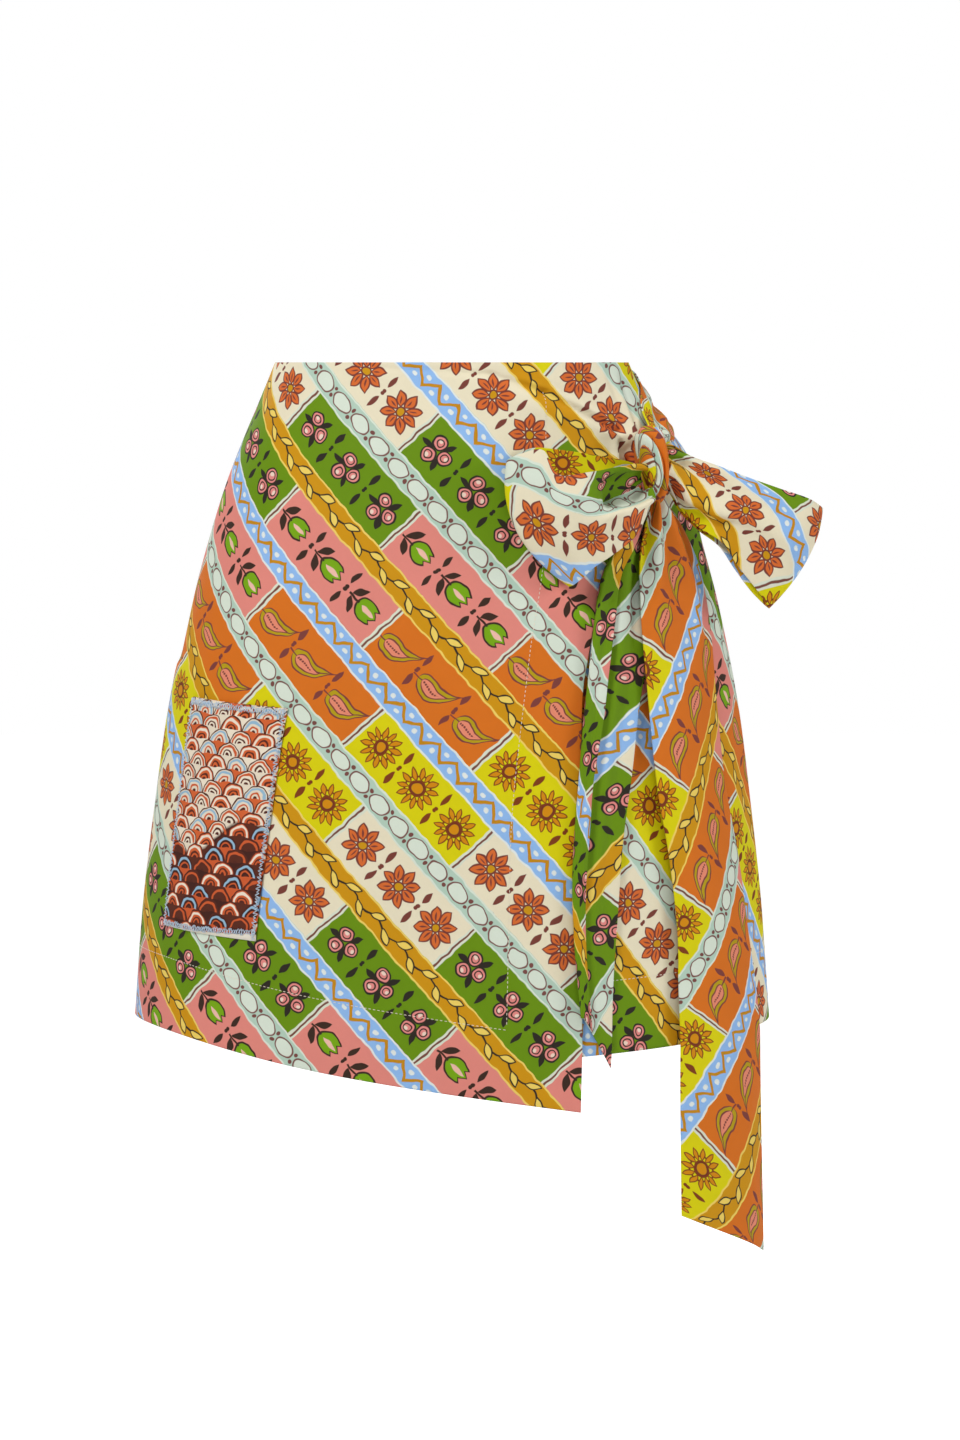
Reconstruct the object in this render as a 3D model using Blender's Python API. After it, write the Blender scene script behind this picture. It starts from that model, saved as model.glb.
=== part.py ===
"""Wrap skirt in printed cotton, tied in a bow at the wearer's left hip.

The cloth keeps the shape it has when worn, with nobody in it. Metres, +Z up. The wearer faces -Y, so
their left hip is at +X. The origin is the middle of the waist opening, level with the top edge.

Angles are in degrees round the body: 0 at the centre front, 90 at the wearer's left side and -90 at
their right side. A drop is a distance below the top edge, and out is a distance off the worn shape.
"""

import math
from collections import namedtuple

import bmesh
import bpy
from mathutils import Vector

# ---- Driving sizes -----------------------------------------------------------------------------
CLOTH = 0.0015
SEAM_GAP = 0.0004
LAYER_GAP = 0.0009
SKIRT_LENGTH = 0.465
LEFT_SEAM = 90.0
RIGHT_SEAM = -90.0
BACK_SEAM = 270.0

# The free corner of the overlap hangs lower than the side seams, along a curve of this power.
CORNER_DROP = 0.046
CORNER_POWER = 1.65

# The underlay's hem is lowest at the front, and its hidden edge ends under the overlap.
UNDERLAY_DROP = 0.0125
UNDERLAY_POWER = 1.5
UNDERLAY_END = -46.0

# From its seam the overlap rises to lie over the underlay, between these angles.
OVERLAP_RISE_START = -86.0
OVERLAP_RISE_END = -50.0

# Rows of cloth crowd towards the top, and follow the slope of the hem only past this share of them.
ROW_CROWDING = 1.5
HEM_ROWS_START = 0.4

# A fold keeps its height at its start and loses most of it by its end. The underlay's folds begin
# this many degrees past the overlap's free edge.
FOLD_FADE = 0.9
CLEAR_OF_EDGE = 4.0

# Cloth pushed out over the hip by the pull of the tie.
PUFF_HEIGHT = 0.015
PUFF_ANGLE = 92.0
PUFF_DROP = 0.068
PUFF_ANGLE_REACH = 24.0
PUFF_DROP_REACH = 0.030

# The patch: its top left corner, its size and how far it leans.
PATCH_ANGLE = -61.0
PATCH_DROP = 0.232
PATCH_WIDTH = 0.083
PATCH_LENGTH = 0.160
PATCH_LEAN = 0.045
PATCH_GAP = 0.0006

# The knot: its middle on the body, its half sizes, and the way the bow faces.
KNOT_ANGLE = 53.6
KNOT_DROP = 0.0705
KNOT_OUT = 0.0214
KNOT_HALF_WIDTH = 0.0092
KNOT_HALF_HEIGHT = 0.0255
KNOT_HALF_DEPTH = 0.0125
KNOT_LEAN = 0.11
KNOT_TAPER = 0.22
KNOT_PLEATS = 3
KNOT_PLEAT_HEIGHT = 0.0014
KNOT_DOME_POWER = 3
BOW_TURN = 22.0

# The gathers of the loops, which fade with distance from the knot.
GATHERS = 2
GATHER_HEIGHT = 0.0016
GATHER_REACH = 0.032

# The short tail: how much its end slants, and the radius of the fold along its left edge.
SHORT_TAIL_CUT = 0.036
FOLD_RADIUS = 0.0016

MILLIMETRE = 0.001

# ---- Colours -------------------------------------------------------------------------------------
PINK = (0.66, 0.19, 0.16)
GREEN = (0.12, 0.26, 0.01)
CREAM = (0.80, 0.74, 0.53)
ORANGE = (0.58, 0.29, 0.02)
YELLOW = (0.64, 0.60, 0.01)
AQUA = (0.46, 0.60, 0.56)
BRICK = (0.48, 0.12, 0.07)
OLIVE = (0.35, 0.45, 0.03)

# ---- The worn shape: one row for each level ------------------------------------------------------
Level = namedtuple("Level", "drop half_width front_depth back_depth")
WORN_SHAPE = (
    Level(0.000, 0.1235, 0.090, 0.088),
    Level(0.027, 0.1346, 0.098, 0.101),
    Level(0.055, 0.1464, 0.106, 0.113),
    Level(0.083, 0.1578, 0.112, 0.122),
    Level(0.126, 0.1725, 0.120, 0.137),
    Level(0.168, 0.1848, 0.128, 0.148),
    Level(0.240, 0.2003, 0.138, 0.156),
    Level(0.311, 0.2103, 0.145, 0.158),
    Level(0.383, 0.2190, 0.150, 0.160),
    Level(0.468, 0.2258, 0.155, 0.162),
)

# Where the free edge of the overlap runs, from the top edge down to its corner.
EdgeStation = namedtuple("EdgeStation", "drop angle")
FREE_EDGE = (
    EdgeStation(0.000, 77.0),
    EdgeStation(0.024, 74.0),
    EdgeStation(0.046, 67.0),
    EdgeStation(0.066, 57.0),
    EdgeStation(0.095, 48.0),
    EdgeStation(0.129, 39.5),
    EdgeStation(0.162, 33.1),
    EdgeStation(0.196, 29.2),
    EdgeStation(0.230, 26.5),
    EdgeStation(0.298, 25.1),
    EdgeStation(0.366, 24.1),
    EdgeStation(0.434, 23.4),
    EdgeStation(0.511, 22.9),
)

# Folds in a panel, each a soft ridge between two points of the cloth.
Fold = namedtuple("Fold", "start_angle start_drop end_angle end_drop height reach")
OVERLAP_FOLDS = (
    Fold(56.0, 0.050, 9.0, 0.017, 0.0026, 0.010),
    Fold(56.0, 0.056, 38.0, 0.068, 0.0030, 0.008),
    Fold(60.0, 0.046, 54.0, 0.008, 0.0016, 0.009),
    Fold(55.0, 0.062, 55.0, 0.060, 0.0045, 0.022),
    Fold(24.0, 0.300, 6.0, 0.470, 0.0020, 0.030),
)
UNDERLAY_FOLDS = (
    Fold(80.0, 0.110, 62.0, 0.440, 0.0030, 0.022),
    Fold(88.0, 0.120, 80.0, 0.450, 0.0022, 0.018),
)
BACK_FOLDS = (
    Fold(118.0, 0.080, 112.0, 0.440, 0.0030, 0.026),
    Fold(150.0, 0.150, 146.0, 0.460, 0.0026, 0.030),
    Fold(206.0, 0.140, 212.0, 0.460, 0.0028, 0.028),
    Fold(240.0, 0.090, 247.0, 0.440, 0.0024, 0.024),
)


def smooth_value(stations, name, position):
    """Read a named column of a table at any position, along a smooth curve through its rows."""
    first_name = stations[0]._fields[0]
    places = [getattr(station, first_name) for station in stations]
    values = [getattr(station, name) for station in stations]
    position = min(max(position, places[0]), places[-1])
    index = max(i for i in range(len(places) - 1) if places[i] <= position)
    before, after = max(index - 1, 0), min(index + 2, len(places) - 1)
    span = places[index + 1] - places[index]
    slope_in = (values[index + 1] - values[before]) / (places[index + 1] - places[before])
    slope_out = (values[after] - values[index]) / (places[after] - places[index])
    share = (position - places[index]) / span
    blend = share * share * (3 - 2 * share)
    bow_in = share * (1 - share) ** 2 * span * slope_in
    bow_out = share * share * (share - 1) * span * slope_out
    return values[index] + (values[index + 1] - values[index]) * blend + bow_in + bow_out


def soft_step(start, end, value):
    """0 before start, 1 after end, and a smooth rise between them."""
    share = min(max((value - start) / (end - start), 0.0), 1.0)
    return share * share * (3 - 2 * share)


def hip_puff(angle, drop):
    sideways = (angle - PUFF_ANGLE) / PUFF_ANGLE_REACH
    downward = (drop - PUFF_DROP) / PUFF_DROP_REACH
    return PUFF_HEIGHT * math.exp(-sideways * sideways - downward * downward)


def pace_round(angle, drop):
    """Metres round the body for each radian of angle."""
    turn = math.radians(angle)
    half_width = smooth_value(WORN_SHAPE, "half_width", drop)
    depth = smooth_value(WORN_SHAPE, "front_depth", drop)
    return math.hypot(half_width * math.cos(turn), depth * math.sin(turn))


def worn_point(angle, drop, out=0.0):
    """A point of the worn shape, moved out from it."""
    turn = math.radians(angle)
    half_width = smooth_value(WORN_SHAPE, "half_width", drop)
    side = "front_depth" if math.cos(turn) > 0 else "back_depth"
    depth = smooth_value(WORN_SHAPE, side, drop)
    outward = Vector((math.sin(turn) / half_width, -math.cos(turn) / depth, 0)).normalized()
    point = Vector((half_width * math.sin(turn), -depth * math.cos(turn), -drop))
    return point + outward * (out + hip_puff(angle, drop))


def fold_height(folds, angle, drop):
    """How far the folds of a panel lift it at one point."""
    radius = smooth_value(WORN_SHAPE, "half_width", drop)
    here = Vector((math.radians(angle) * radius, drop))
    height = 0.0
    for fold in folds:
        start = Vector((math.radians(fold.start_angle) * radius, fold.start_drop))
        run = Vector((math.radians(fold.end_angle) * radius, fold.end_drop)) - start
        share = min(max((here - start).dot(run) / run.length_squared, 0.0), 1.0)
        aside = (here - start - run * share).length / fold.reach
        fade = math.sqrt(1 - FOLD_FADE * share)
        height += fold.height * fade * math.exp(-aside * aside)
    return height


# ---- Making a piece of cloth ---------------------------------------------------------------------
def cloth_material(name, colour, roughness=0.85):
    material = bpy.data.materials.new(name)
    material.use_nodes = True
    shader = material.node_tree.nodes["Principled BSDF"]
    shader.inputs["Base Color"].default_value = (*colour, 1.0)
    shader.inputs["Roughness"].default_value = roughness
    shader.inputs["Metallic"].default_value = 0.0
    return material


def add_object(name, shape, colour):
    """Turn a bmesh into a named object with its own material, shaded smooth."""
    mesh = bpy.data.meshes.new(name)
    shape.to_mesh(mesh)
    shape.free()
    mesh.shade_smooth()
    mesh.materials.append(cloth_material(name, colour))
    piece = bpy.data.objects.new(name, mesh)
    bpy.context.scene.collection.objects.link(piece)
    return piece


# Where a sheet's thickness goes: all of it outwards, or half to each side.
OUTER_SIDE = 1.0
BOTH_SIDES = 0.0


def cloth_piece(name, colour, rows, columns, place, offset):
    """A sheet laid by place(row share, column share), thickened into a closed wall."""
    sheet = bmesh.new()
    bmesh.ops.create_grid(sheet, x_segments=columns, y_segments=rows, size=0.5)
    for vertex in sheet.verts:
        vertex.co = place(0.5 - vertex.co.y, vertex.co.x + 0.5)
    piece = add_object(name, sheet, colour)
    wall = piece.modifiers.new("cloth", "SOLIDIFY")
    wall.thickness = CLOTH
    wall.offset = offset
    wall.use_even_offset = True
    return piece


# ---- Panels ----------------------------------------------------------------------------------------
def seam_allowance(drop):
    """The angle that half a seam gap takes up at the side."""
    depth = smooth_value(WORN_SHAPE, "front_depth", drop)
    return math.degrees(0.5 * SEAM_GAP / depth)


def overlap_length(angle):
    """How far down the overlap reaches: lowest at its free corner."""
    full_turn = FREE_EDGE[-1].angle - RIGHT_SEAM
    share = max(angle - RIGHT_SEAM, 0.0) / full_turn
    return SKIRT_LENGTH + CORNER_DROP * min(share, 1.0) ** CORNER_POWER


def overlap_out(angle, drop):
    """The overlap leaves the right side seam level with the back, and rises over the underlay."""
    rise = soft_step(OVERLAP_RISE_START, OVERLAP_RISE_END, angle) * (CLOTH + LAYER_GAP)
    return rise + fold_height(OVERLAP_FOLDS, angle, drop)


def level_at(row, length):
    """The drop of a row of cloth. Rows are closest near the top, where the panels share their levels."""
    drop = row**ROW_CROWDING * SKIRT_LENGTH
    return drop + (length - SKIRT_LENGTH) * soft_step(HEM_ROWS_START, 1.0, row)


def overlap_place(row, column):
    drop = level_at(row, SKIRT_LENGTH)
    for _ in range(4):
        start = RIGHT_SEAM + seam_allowance(drop)
        end = smooth_value(FREE_EDGE, "angle", drop)
        angle = start + column * (end - start)
        drop = level_at(row, overlap_length(angle))
    return worn_point(angle, drop, overlap_out(angle, drop))


def underlay_place(row, column):
    drop = level_at(row, SKIRT_LENGTH)
    end = LEFT_SEAM - seam_allowance(drop)
    angle = UNDERLAY_END + column * (end - UNDERLAY_END)
    slope = (1 - abs(angle) / LEFT_SEAM) ** UNDERLAY_POWER
    drop = level_at(row, SKIRT_LENGTH + UNDERLAY_DROP * slope)
    uncovered = smooth_value(FREE_EDGE, "angle", drop) + CLEAR_OF_EDGE
    share = soft_step(uncovered, LEFT_SEAM, angle)
    return worn_point(angle, drop, share * fold_height(UNDERLAY_FOLDS, angle, drop))


def back_place(row, column):
    drop = level_at(row, SKIRT_LENGTH)
    start = LEFT_SEAM + seam_allowance(drop)
    end = BACK_SEAM - seam_allowance(drop)
    angle = start + column * (end - start)
    return worn_point(angle, drop, fold_height(BACK_FOLDS, angle, drop))


def patch_place(row, column):
    """The patch lies on the overlap: its points are the overlap's, moved out."""
    drop = PATCH_DROP + row * PATCH_LENGTH + PATCH_LEAN * PATCH_WIDTH * column
    angle = PATCH_ANGLE
    steps = 6
    for _ in range(steps):
        angle += math.degrees(PATCH_WIDTH * column / steps / pace_round(angle, drop))
    return worn_point(angle, drop, overlap_out(angle, drop) + CLOTH + PATCH_GAP)


# ---- The bow -----------------------------------------------------------------------------------------
def bow_point(along, up, out):
    """A point in the bow's own frame: along to the wearer's left, up, and out from the body."""
    turn = math.radians(BOW_TURN)
    middle = worn_point(KNOT_ANGLE, KNOT_DROP, KNOT_OUT)
    sideways = Vector((math.cos(turn), math.sin(turn), 0)) * along
    outward = Vector((math.sin(turn), -math.cos(turn), 0)) * out
    return middle + sideways + outward + Vector((0, 0, up))


# Sections across a loop, in millimetres of the bow's frame, from the knot round and back again:
# the upper edge, the middle and the lower edge of the band.
LoopSection = namedtuple(
    "LoopSection",
    "upper_along upper_up upper_out middle_along middle_up middle_out lower_along lower_up lower_out",
)
LEFT_LOOP = (
    LoopSection(-9.3, 0, -5, -9.2, -10, -5, -8.6, -20, -1),
    LoopSection(-18, 3, -7, -16, -14, -3, -14, -34, 5),
    LoopSection(-36, 6, -7, -34, -22, 0, -32, -50, 9),
    LoopSection(-61, 10, -6, -60, -26, 1, -49, -65, 12),
    LoopSection(-87, 12, -7, -88, -31, 2, -63, -77, 13),
    LoopSection(-106, 3, -4, -105, -42, 8, -70, -81, 18),
    LoopSection(-101, 6, 7, -99, -34, 21, -68, -79, 24),
    LoopSection(-88, -4, 25, -84, -34, 34, -61, -71, 29),
    LoopSection(-63, -3, 29, -62, -29, 35, -46, -59, 31),
    LoopSection(-34, 0, 19, -34, -20, 25, -26, -43, 24),
    LoopSection(-18, 1, 9, -16, -12, 12, -13, -29, 12),
    LoopSection(-9.3, 0, 5, -9.2, -9, 7, -8.6, -20, 8),
)
RIGHT_LOOP = (
    LoopSection(10, 14, -5, 10, 2, -6, 9, -10, -5),
    LoopSection(20, 13, -7, 20, -2, -10, 15, -20, -3),
    LoopSection(31, 9, -6, 32, -10, -11, 22, -33, 0),
    LoopSection(48, 2, -1, 49, -21, -8, 36, -46, 4),
    LoopSection(68, -6, 5, 66, -31, -3, 51, -57, 5),
    LoopSection(90, -16, 10, 82, -42, 2, 62, -73, 6),
    LoopSection(110, -25, 15, 99, -57, 9, 73, -89, 8),
    LoopSection(122, -31, 18, 112, -66, 13, 84, -100, 12),
    LoopSection(110, -24, 21, 99, -55, 15, 74, -88, 15),
    LoopSection(89, -15, 17, 81, -40, 8, 60, -70, 14),
    LoopSection(67, -6, 12, 64, -29, 3, 49, -54, 13),
    LoopSection(47, 3, 6, 46, -20, -2, 34, -45, 11),
    LoopSection(30, 8, 1, 30, -10, -4, 21, -33, 8),
    LoopSection(20, 10, 0, 20, -4, -3, 14, -20, 5),
    LoopSection(10, 10, 5, 10, 1, 5, 9, -8, 5),
)


def table_point(table, names, position):
    """A point read from three named columns of a table of sections, at any section position."""
    index = min(int(position), len(table) - 2)
    share = position - index
    rows = [table[min(max(index + step, 0), len(table) - 1)] for step in (-1, 0, 1, 2)]
    before, start, end, after = (Vector([getattr(row, name) for name in names]) for row in rows)
    leave = (end - before) * 0.5
    arrive = (after - start) * 0.5
    bend = start * (1 + 2 * share) * (1 - share) ** 2 + end * share * share * (3 - 2 * share)
    return bend + leave * share * (1 - share) ** 2 + arrive * share * share * (share - 1)


def across_three(first, middle, last, share):
    """A smooth line through three points: first at 0, middle at a half and last at 1."""
    near = (1 - share) * (1 - 2 * share)
    half = 4 * share * (1 - share)
    far = share * (2 * share - 1)
    return first * near + middle * half + last * far


def loop_place(table):
    """Lay a band through a loop's sections."""

    def place(row, column):
        position = column * (len(table) - 1)
        edges = [
            table_point(table, (edge + "_along", edge + "_up", edge + "_out"), position)
            for edge in ("upper", "middle", "lower")
        ]
        along, up, out = across_three(*edges, row) * MILLIMETRE
        nearness = math.exp(-((along / GATHER_REACH) ** 2))
        gather = GATHER_HEIGHT * math.cos(math.tau * GATHERS * row)
        return bow_point(along - KNOT_LEAN * up * nearness, up, out + gather * nearness)

    return place


def build_knot():
    """The band that wraps the bow: a barrel turned from a pleated profile, then pressed flatter."""
    profile_steps = 14
    turn_steps = 22
    merge_distance = 1e-5
    knot = bmesh.new()
    points = []
    for step in range(profile_steps + 1):
        share = 2 * step / profile_steps - 1
        dome = math.sqrt(1 - abs(share) ** KNOT_DOME_POWER)
        pleat = 1 + KNOT_PLEAT_HEIGHT / KNOT_HALF_DEPTH * math.cos(KNOT_PLEATS * math.pi * share)
        points.append(knot.verts.new((share, 0, dome * pleat)))
    line = [knot.edges.new(pair) for pair in zip(points, points[1:])]
    bmesh.ops.spin(
        knot,
        geom=points + line,
        cent=(0, 0, 0),
        axis=(1, 0, 0),
        angle=math.tau,
        steps=turn_steps,
        use_merge=True,
    )
    bmesh.ops.remove_doubles(knot, verts=knot.verts, dist=merge_distance)
    for vertex in knot.verts:
        along = vertex.co.x * KNOT_HALF_WIDTH * (1 + KNOT_TAPER * vertex.co.z)
        up = vertex.co.z * KNOT_HALF_HEIGHT
        out = vertex.co.y * KNOT_HALF_DEPTH
        vertex.co = bow_point(along - KNOT_LEAN * up, up, out)
    knot.normal_update()
    bmesh.ops.recalc_face_normals(knot, faces=knot.faces)
    return add_object("bow_knot", knot, OLIVE)


# ---- Tails ---------------------------------------------------------------------------------------------
# Sections across a band that lies on the body: its left or lower edge, its middle, and its right or
# upper edge, in degrees, metres of drop and millimetres out.
BandSection = namedtuple(
    "BandSection",
    "first_angle first_drop first_out middle_angle middle_drop middle_out last_angle last_drop last_out",
)
LONG_TAIL = (
    BandSection(51.5, 0.0985, 15.0, 54.0, 0.0990, 18.5, 57.0, 0.0980, 14.0),
    BandSection(48.5, 0.112, 13.0, 54.5, 0.112, 18.0, 63.5, 0.108, 9.0),
    BandSection(44.5, 0.138, 11.5, 55.0, 0.138, 14.0, 70.0, 0.138, 6.5),
    BandSection(42.0, 0.176, 11.0, 55.0, 0.176, 12.0, 69.0, 0.176, 6.0),
    BandSection(41.0, 0.231, 10.0, 53.0, 0.231, 11.0, 64.5, 0.231, 6.0),
    BandSection(41.2, 0.286, 9.0, 52.0, 0.286, 11.0, 63.0, 0.286, 6.5),
    BandSection(43.0, 0.341, 8.0, 54.0, 0.341, 11.0, 65.2, 0.345, 6.5),
    BandSection(43.6, 0.392, 8.0, 55.0, 0.394, 11.0, 66.5, 0.398, 6.5),
    BandSection(43.2, 0.433, 8.0, 55.5, 0.438, 11.0, 68.0, 0.444, 6.5),
    BandSection(43.0, 0.497, 8.0, 56.0, 0.506, 11.0, 68.8, 0.516, 6.5),
    BandSection(43.4, 0.587, 8.0, 57.0, 0.604, 12.0, 70.5, 0.622, 6.5),
)

# Sections across the short tail, which is folded over lengthwise at its left edge.
FoldedSection = namedtuple("FoldedSection", "drop left_angle flap_angle right_angle left_out right_out")
SHORT_TAIL = (
    FoldedSection(0.104, 48.0, 51.0, 54.0, 6.2, 6.5),
    FoldedSection(0.125, 40.8, 45.0, 50.0, 6.4, 6.0),
    FoldedSection(0.145, 34.8, 39.0, 47.0, 6.8, 5.6),
    FoldedSection(0.176, 31.2, 35.4, 44.2, 7.2, 5.4),
    FoldedSection(0.215, 28.3, 32.0, 41.5, 7.2, 5.0),
    FoldedSection(0.241, 26.6, 30.2, 39.0, 7.4, 4.6),
    FoldedSection(0.284, 24.7, 27.0, 36.0, 7.6, 4.4),
    FoldedSection(0.327, 23.2, 25.4, 33.1, 7.6, 4.2),
    FoldedSection(0.372, 22.4, 24.2, 31.2, 7.6, 4.0),
    FoldedSection(0.424, 22.4, 23.9, 29.5, 7.6, 3.8),
    FoldedSection(0.476, 23.2, 24.6, 28.6, 7.4, 3.6),
)


def band_place(table):
    """Lay a band through its sections, row by row."""

    def place(row, column):
        position = row * (len(table) - 1)
        edges = [
            table_point(table, (edge + "_angle", edge + "_drop", edge + "_out"), position)
            for edge in ("first", "middle", "last")
        ]
        angle, drop, out = across_three(*edges, column)
        return worn_point(angle, drop, out * MILLIMETRE)

    return place


def short_tail_place(row, column):
    """Across the tail: the flap from its free edge to the fold, round the fold, then the back layer."""
    flap_share, fold_share = 0.25, 0.5
    drop = SHORT_TAIL[0].drop + row * (SHORT_TAIL[-1].drop - SHORT_TAIL[0].drop)
    left, flap, right, left_out, right_out = (
        smooth_value(SHORT_TAIL, name, drop) for name in FoldedSection._fields[1:]
    )
    turn = 0.0
    if column < flap_share:
        angle = flap + (left - flap) * column / flap_share
        turn = 1.0
    elif column < fold_share:
        angle = left
        turn = math.cos(math.pi * (column - flap_share) / (fold_share - flap_share))
        bulge = FOLD_RADIUS * math.sqrt(1 - turn * turn)
        angle -= math.degrees(bulge / pace_round(left, drop))
    else:
        angle = left + (right - left) * (column - fold_share) / (1 - fold_share)
        turn = -1.0
    level = (angle - left) / (right - left)
    out = (left_out + (right_out - left_out) * level) * MILLIMETRE + FOLD_RADIUS * (turn + 1)
    drop -= SHORT_TAIL_CUT * (1 - max(level, 0.0)) * soft_step(0.5, 1.0, row)
    return worn_point(angle, drop, out)


# ---- The tie that comes round from the back, gathered as it nears the knot ------------------------------
BACK_TIE = (
    BandSection(112.0, 0.036, 3.4, 112.0, 0.021, 3.0, 112.0, 0.006, 2.8),
    BandSection(102.0, 0.038, 5.0, 101.0, 0.022, 4.8, 100.0, 0.006, 4.0),
    BandSection(94.0, 0.040, 5.5, 91.0, 0.022, 5.2, 88.0, 0.005, 4.0),
    BandSection(88.5, 0.042, 6.0, 83.0, 0.025, 5.0, 78.0, 0.010, 5.5),
    BandSection(84.0, 0.045, 7.5, 77.5, 0.032, 5.6, 71.0, 0.021, 7.0),
    BandSection(78.0, 0.050, 10.0, 72.5, 0.041, 7.5, 67.0, 0.034, 9.0),
    BandSection(70.0, 0.0545, 14.0, 66.0, 0.0490, 12.0, 62.0, 0.0440, 13.5),
    BandSection(59.0, 0.0575, 19.5, 57.6, 0.0530, 20.5, 56.8, 0.0485, 20.5),
)


# ---- Build ---------------------------------------------------------------------------------------------
def main():
    for old in list(bpy.data.objects):
        bpy.data.objects.remove(old)
    cloth_piece("front_overlap", PINK, 20, 32, overlap_place, OUTER_SIDE)
    cloth_piece("front_underlay", GREEN, 20, 18, underlay_place, OUTER_SIDE)
    cloth_piece("back_panel", CREAM, 20, 24, back_place, OUTER_SIDE)
    cloth_piece("patch", BRICK, 8, 6, patch_place, OUTER_SIDE)
    cloth_piece("bow_loop_left", CREAM, 8, 24, loop_place(LEFT_LOOP), BOTH_SIDES)
    cloth_piece("bow_loop_right", ORANGE, 8, 26, loop_place(RIGHT_LOOP), BOTH_SIDES)
    cloth_piece("tail_long", YELLOW, 26, 6, band_place(LONG_TAIL), BOTH_SIDES)
    cloth_piece("tail_short", AQUA, 22, 12, short_tail_place, BOTH_SIDES)
    cloth_piece("back_tie", YELLOW, 18, 6, band_place(BACK_TIE), BOTH_SIDES)
    build_knot()


main()
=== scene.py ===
"""Wrap skirt in bright printed cotton, tied in a bow at the wearer's left hip.

The skirt keeps the shape it has when worn, with nobody in it. Metres, +Z up. The wearer faces -Y,
so their left hip is at +X, and the origin is the middle of the waist opening.

Angles are in degrees round the body: 0 at the centre front, 90 at the wearer's left side and -90 at
their right side. A drop is a distance below the top edge, and out is a distance off the worn shape.
"""

import math
from collections import namedtuple

import bmesh
import bpy
from mathutils import Matrix, Vector


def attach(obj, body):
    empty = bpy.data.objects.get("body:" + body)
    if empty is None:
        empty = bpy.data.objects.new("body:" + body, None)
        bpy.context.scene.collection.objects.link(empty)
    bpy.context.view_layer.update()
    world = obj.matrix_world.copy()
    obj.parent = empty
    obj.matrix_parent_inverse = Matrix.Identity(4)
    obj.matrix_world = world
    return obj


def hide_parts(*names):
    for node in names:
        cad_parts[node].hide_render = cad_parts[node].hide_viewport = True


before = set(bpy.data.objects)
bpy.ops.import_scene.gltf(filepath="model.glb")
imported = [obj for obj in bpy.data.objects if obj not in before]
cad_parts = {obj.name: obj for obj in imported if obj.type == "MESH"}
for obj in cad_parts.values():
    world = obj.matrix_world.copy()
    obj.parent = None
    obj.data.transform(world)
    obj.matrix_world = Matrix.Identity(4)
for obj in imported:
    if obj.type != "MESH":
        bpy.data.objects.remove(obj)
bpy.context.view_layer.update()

# ---- Camera --------------------------------------------------------------------------------------
# A long lens at the height of the waist, a little to the wearer's left and tipped down slightly.
# The waist is level with the eye, so its opening shows as a straight line.
CAMERA_TIP = 4.84
camera_data = bpy.data.cameras.new("camera")
camera_data.sensor_width = 36.0
camera_data.lens = 105.6
camera = bpy.data.objects.new("camera", camera_data)
camera.location = (0.020, -3.0, 0.0)
camera.rotation_euler = (math.radians(90 - CAMERA_TIP), 0.0, 0.0)
bpy.context.scene.collection.objects.link(camera)
bpy.context.scene.camera = camera

# ---- Studio --------------------------------------------------------------------------------------
# A white floor in a white room, lit by large soft lamps: the key stands high at the wearer's right,
# and the others fill in. The floor and the room shine white to the eye, and light the cloth less.
FLOOR_HEIGHT = -1.05
FLOOR_RADIUS = 9.0
FLOOR_GLOW = 0.80
ROOM_LIGHT = 0.22
LAMP_TARGET = Vector((0.0, 0.0, -0.25))


def new_material(name):
    """A new material, its node tree and its shader."""
    material = bpy.data.materials.new(name)
    material.use_nodes = True
    return material, material.node_tree, material.node_tree.nodes["Principled BSDF"]


def glow(tree, socket, seen, unseen):
    """Feed a strength one value where the camera looks at it, and another for all other light."""
    path = tree.nodes.new("ShaderNodeLightPath")
    strength = tree.nodes.new("ShaderNodeMapRange")
    strength.inputs["To Min"].default_value = unseen
    strength.inputs["To Max"].default_value = seen
    tree.links.new(path.outputs["Is Camera Ray"], strength.inputs["Value"])
    tree.links.new(strength.outputs[0], socket)


disc = bmesh.new()
bmesh.ops.create_circle(disc, cap_ends=True, segments=96, radius=FLOOR_RADIUS)
bmesh.ops.translate(disc, verts=disc.verts, vec=(0, 0, FLOOR_HEIGHT))
floor_mesh = bpy.data.meshes.new("studio_floor")
disc.to_mesh(floor_mesh)
disc.free()
floor = bpy.data.objects.new("studio_floor", floor_mesh)
bpy.context.scene.collection.objects.link(floor)
paint, paint_tree, paint_shader = new_material("studio_paint")
paint_shader.inputs["Base Color"].default_value = (0.92, 0.92, 0.92, 1.0)
paint_shader.inputs["Roughness"].default_value = 0.9
paint_shader.inputs["Specular IOR Level"].default_value = 0.1
paint_shader.inputs["Emission Color"].default_value = (1.0, 1.0, 1.0, 1.0)
glow(paint_tree, paint_shader.inputs["Emission Strength"], seen=FLOOR_GLOW, unseen=0.0)
floor.data.materials.append(paint)

room = bpy.data.worlds.new("room")
bpy.context.scene.world = room
room.use_nodes = True
backdrop = room.node_tree.nodes["Background"]
backdrop.inputs["Color"].default_value = (1.0, 1.0, 1.0, 1.0)
glow(room.node_tree, backdrop.inputs["Strength"], seen=1.0, unseen=ROOM_LIGHT)

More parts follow.
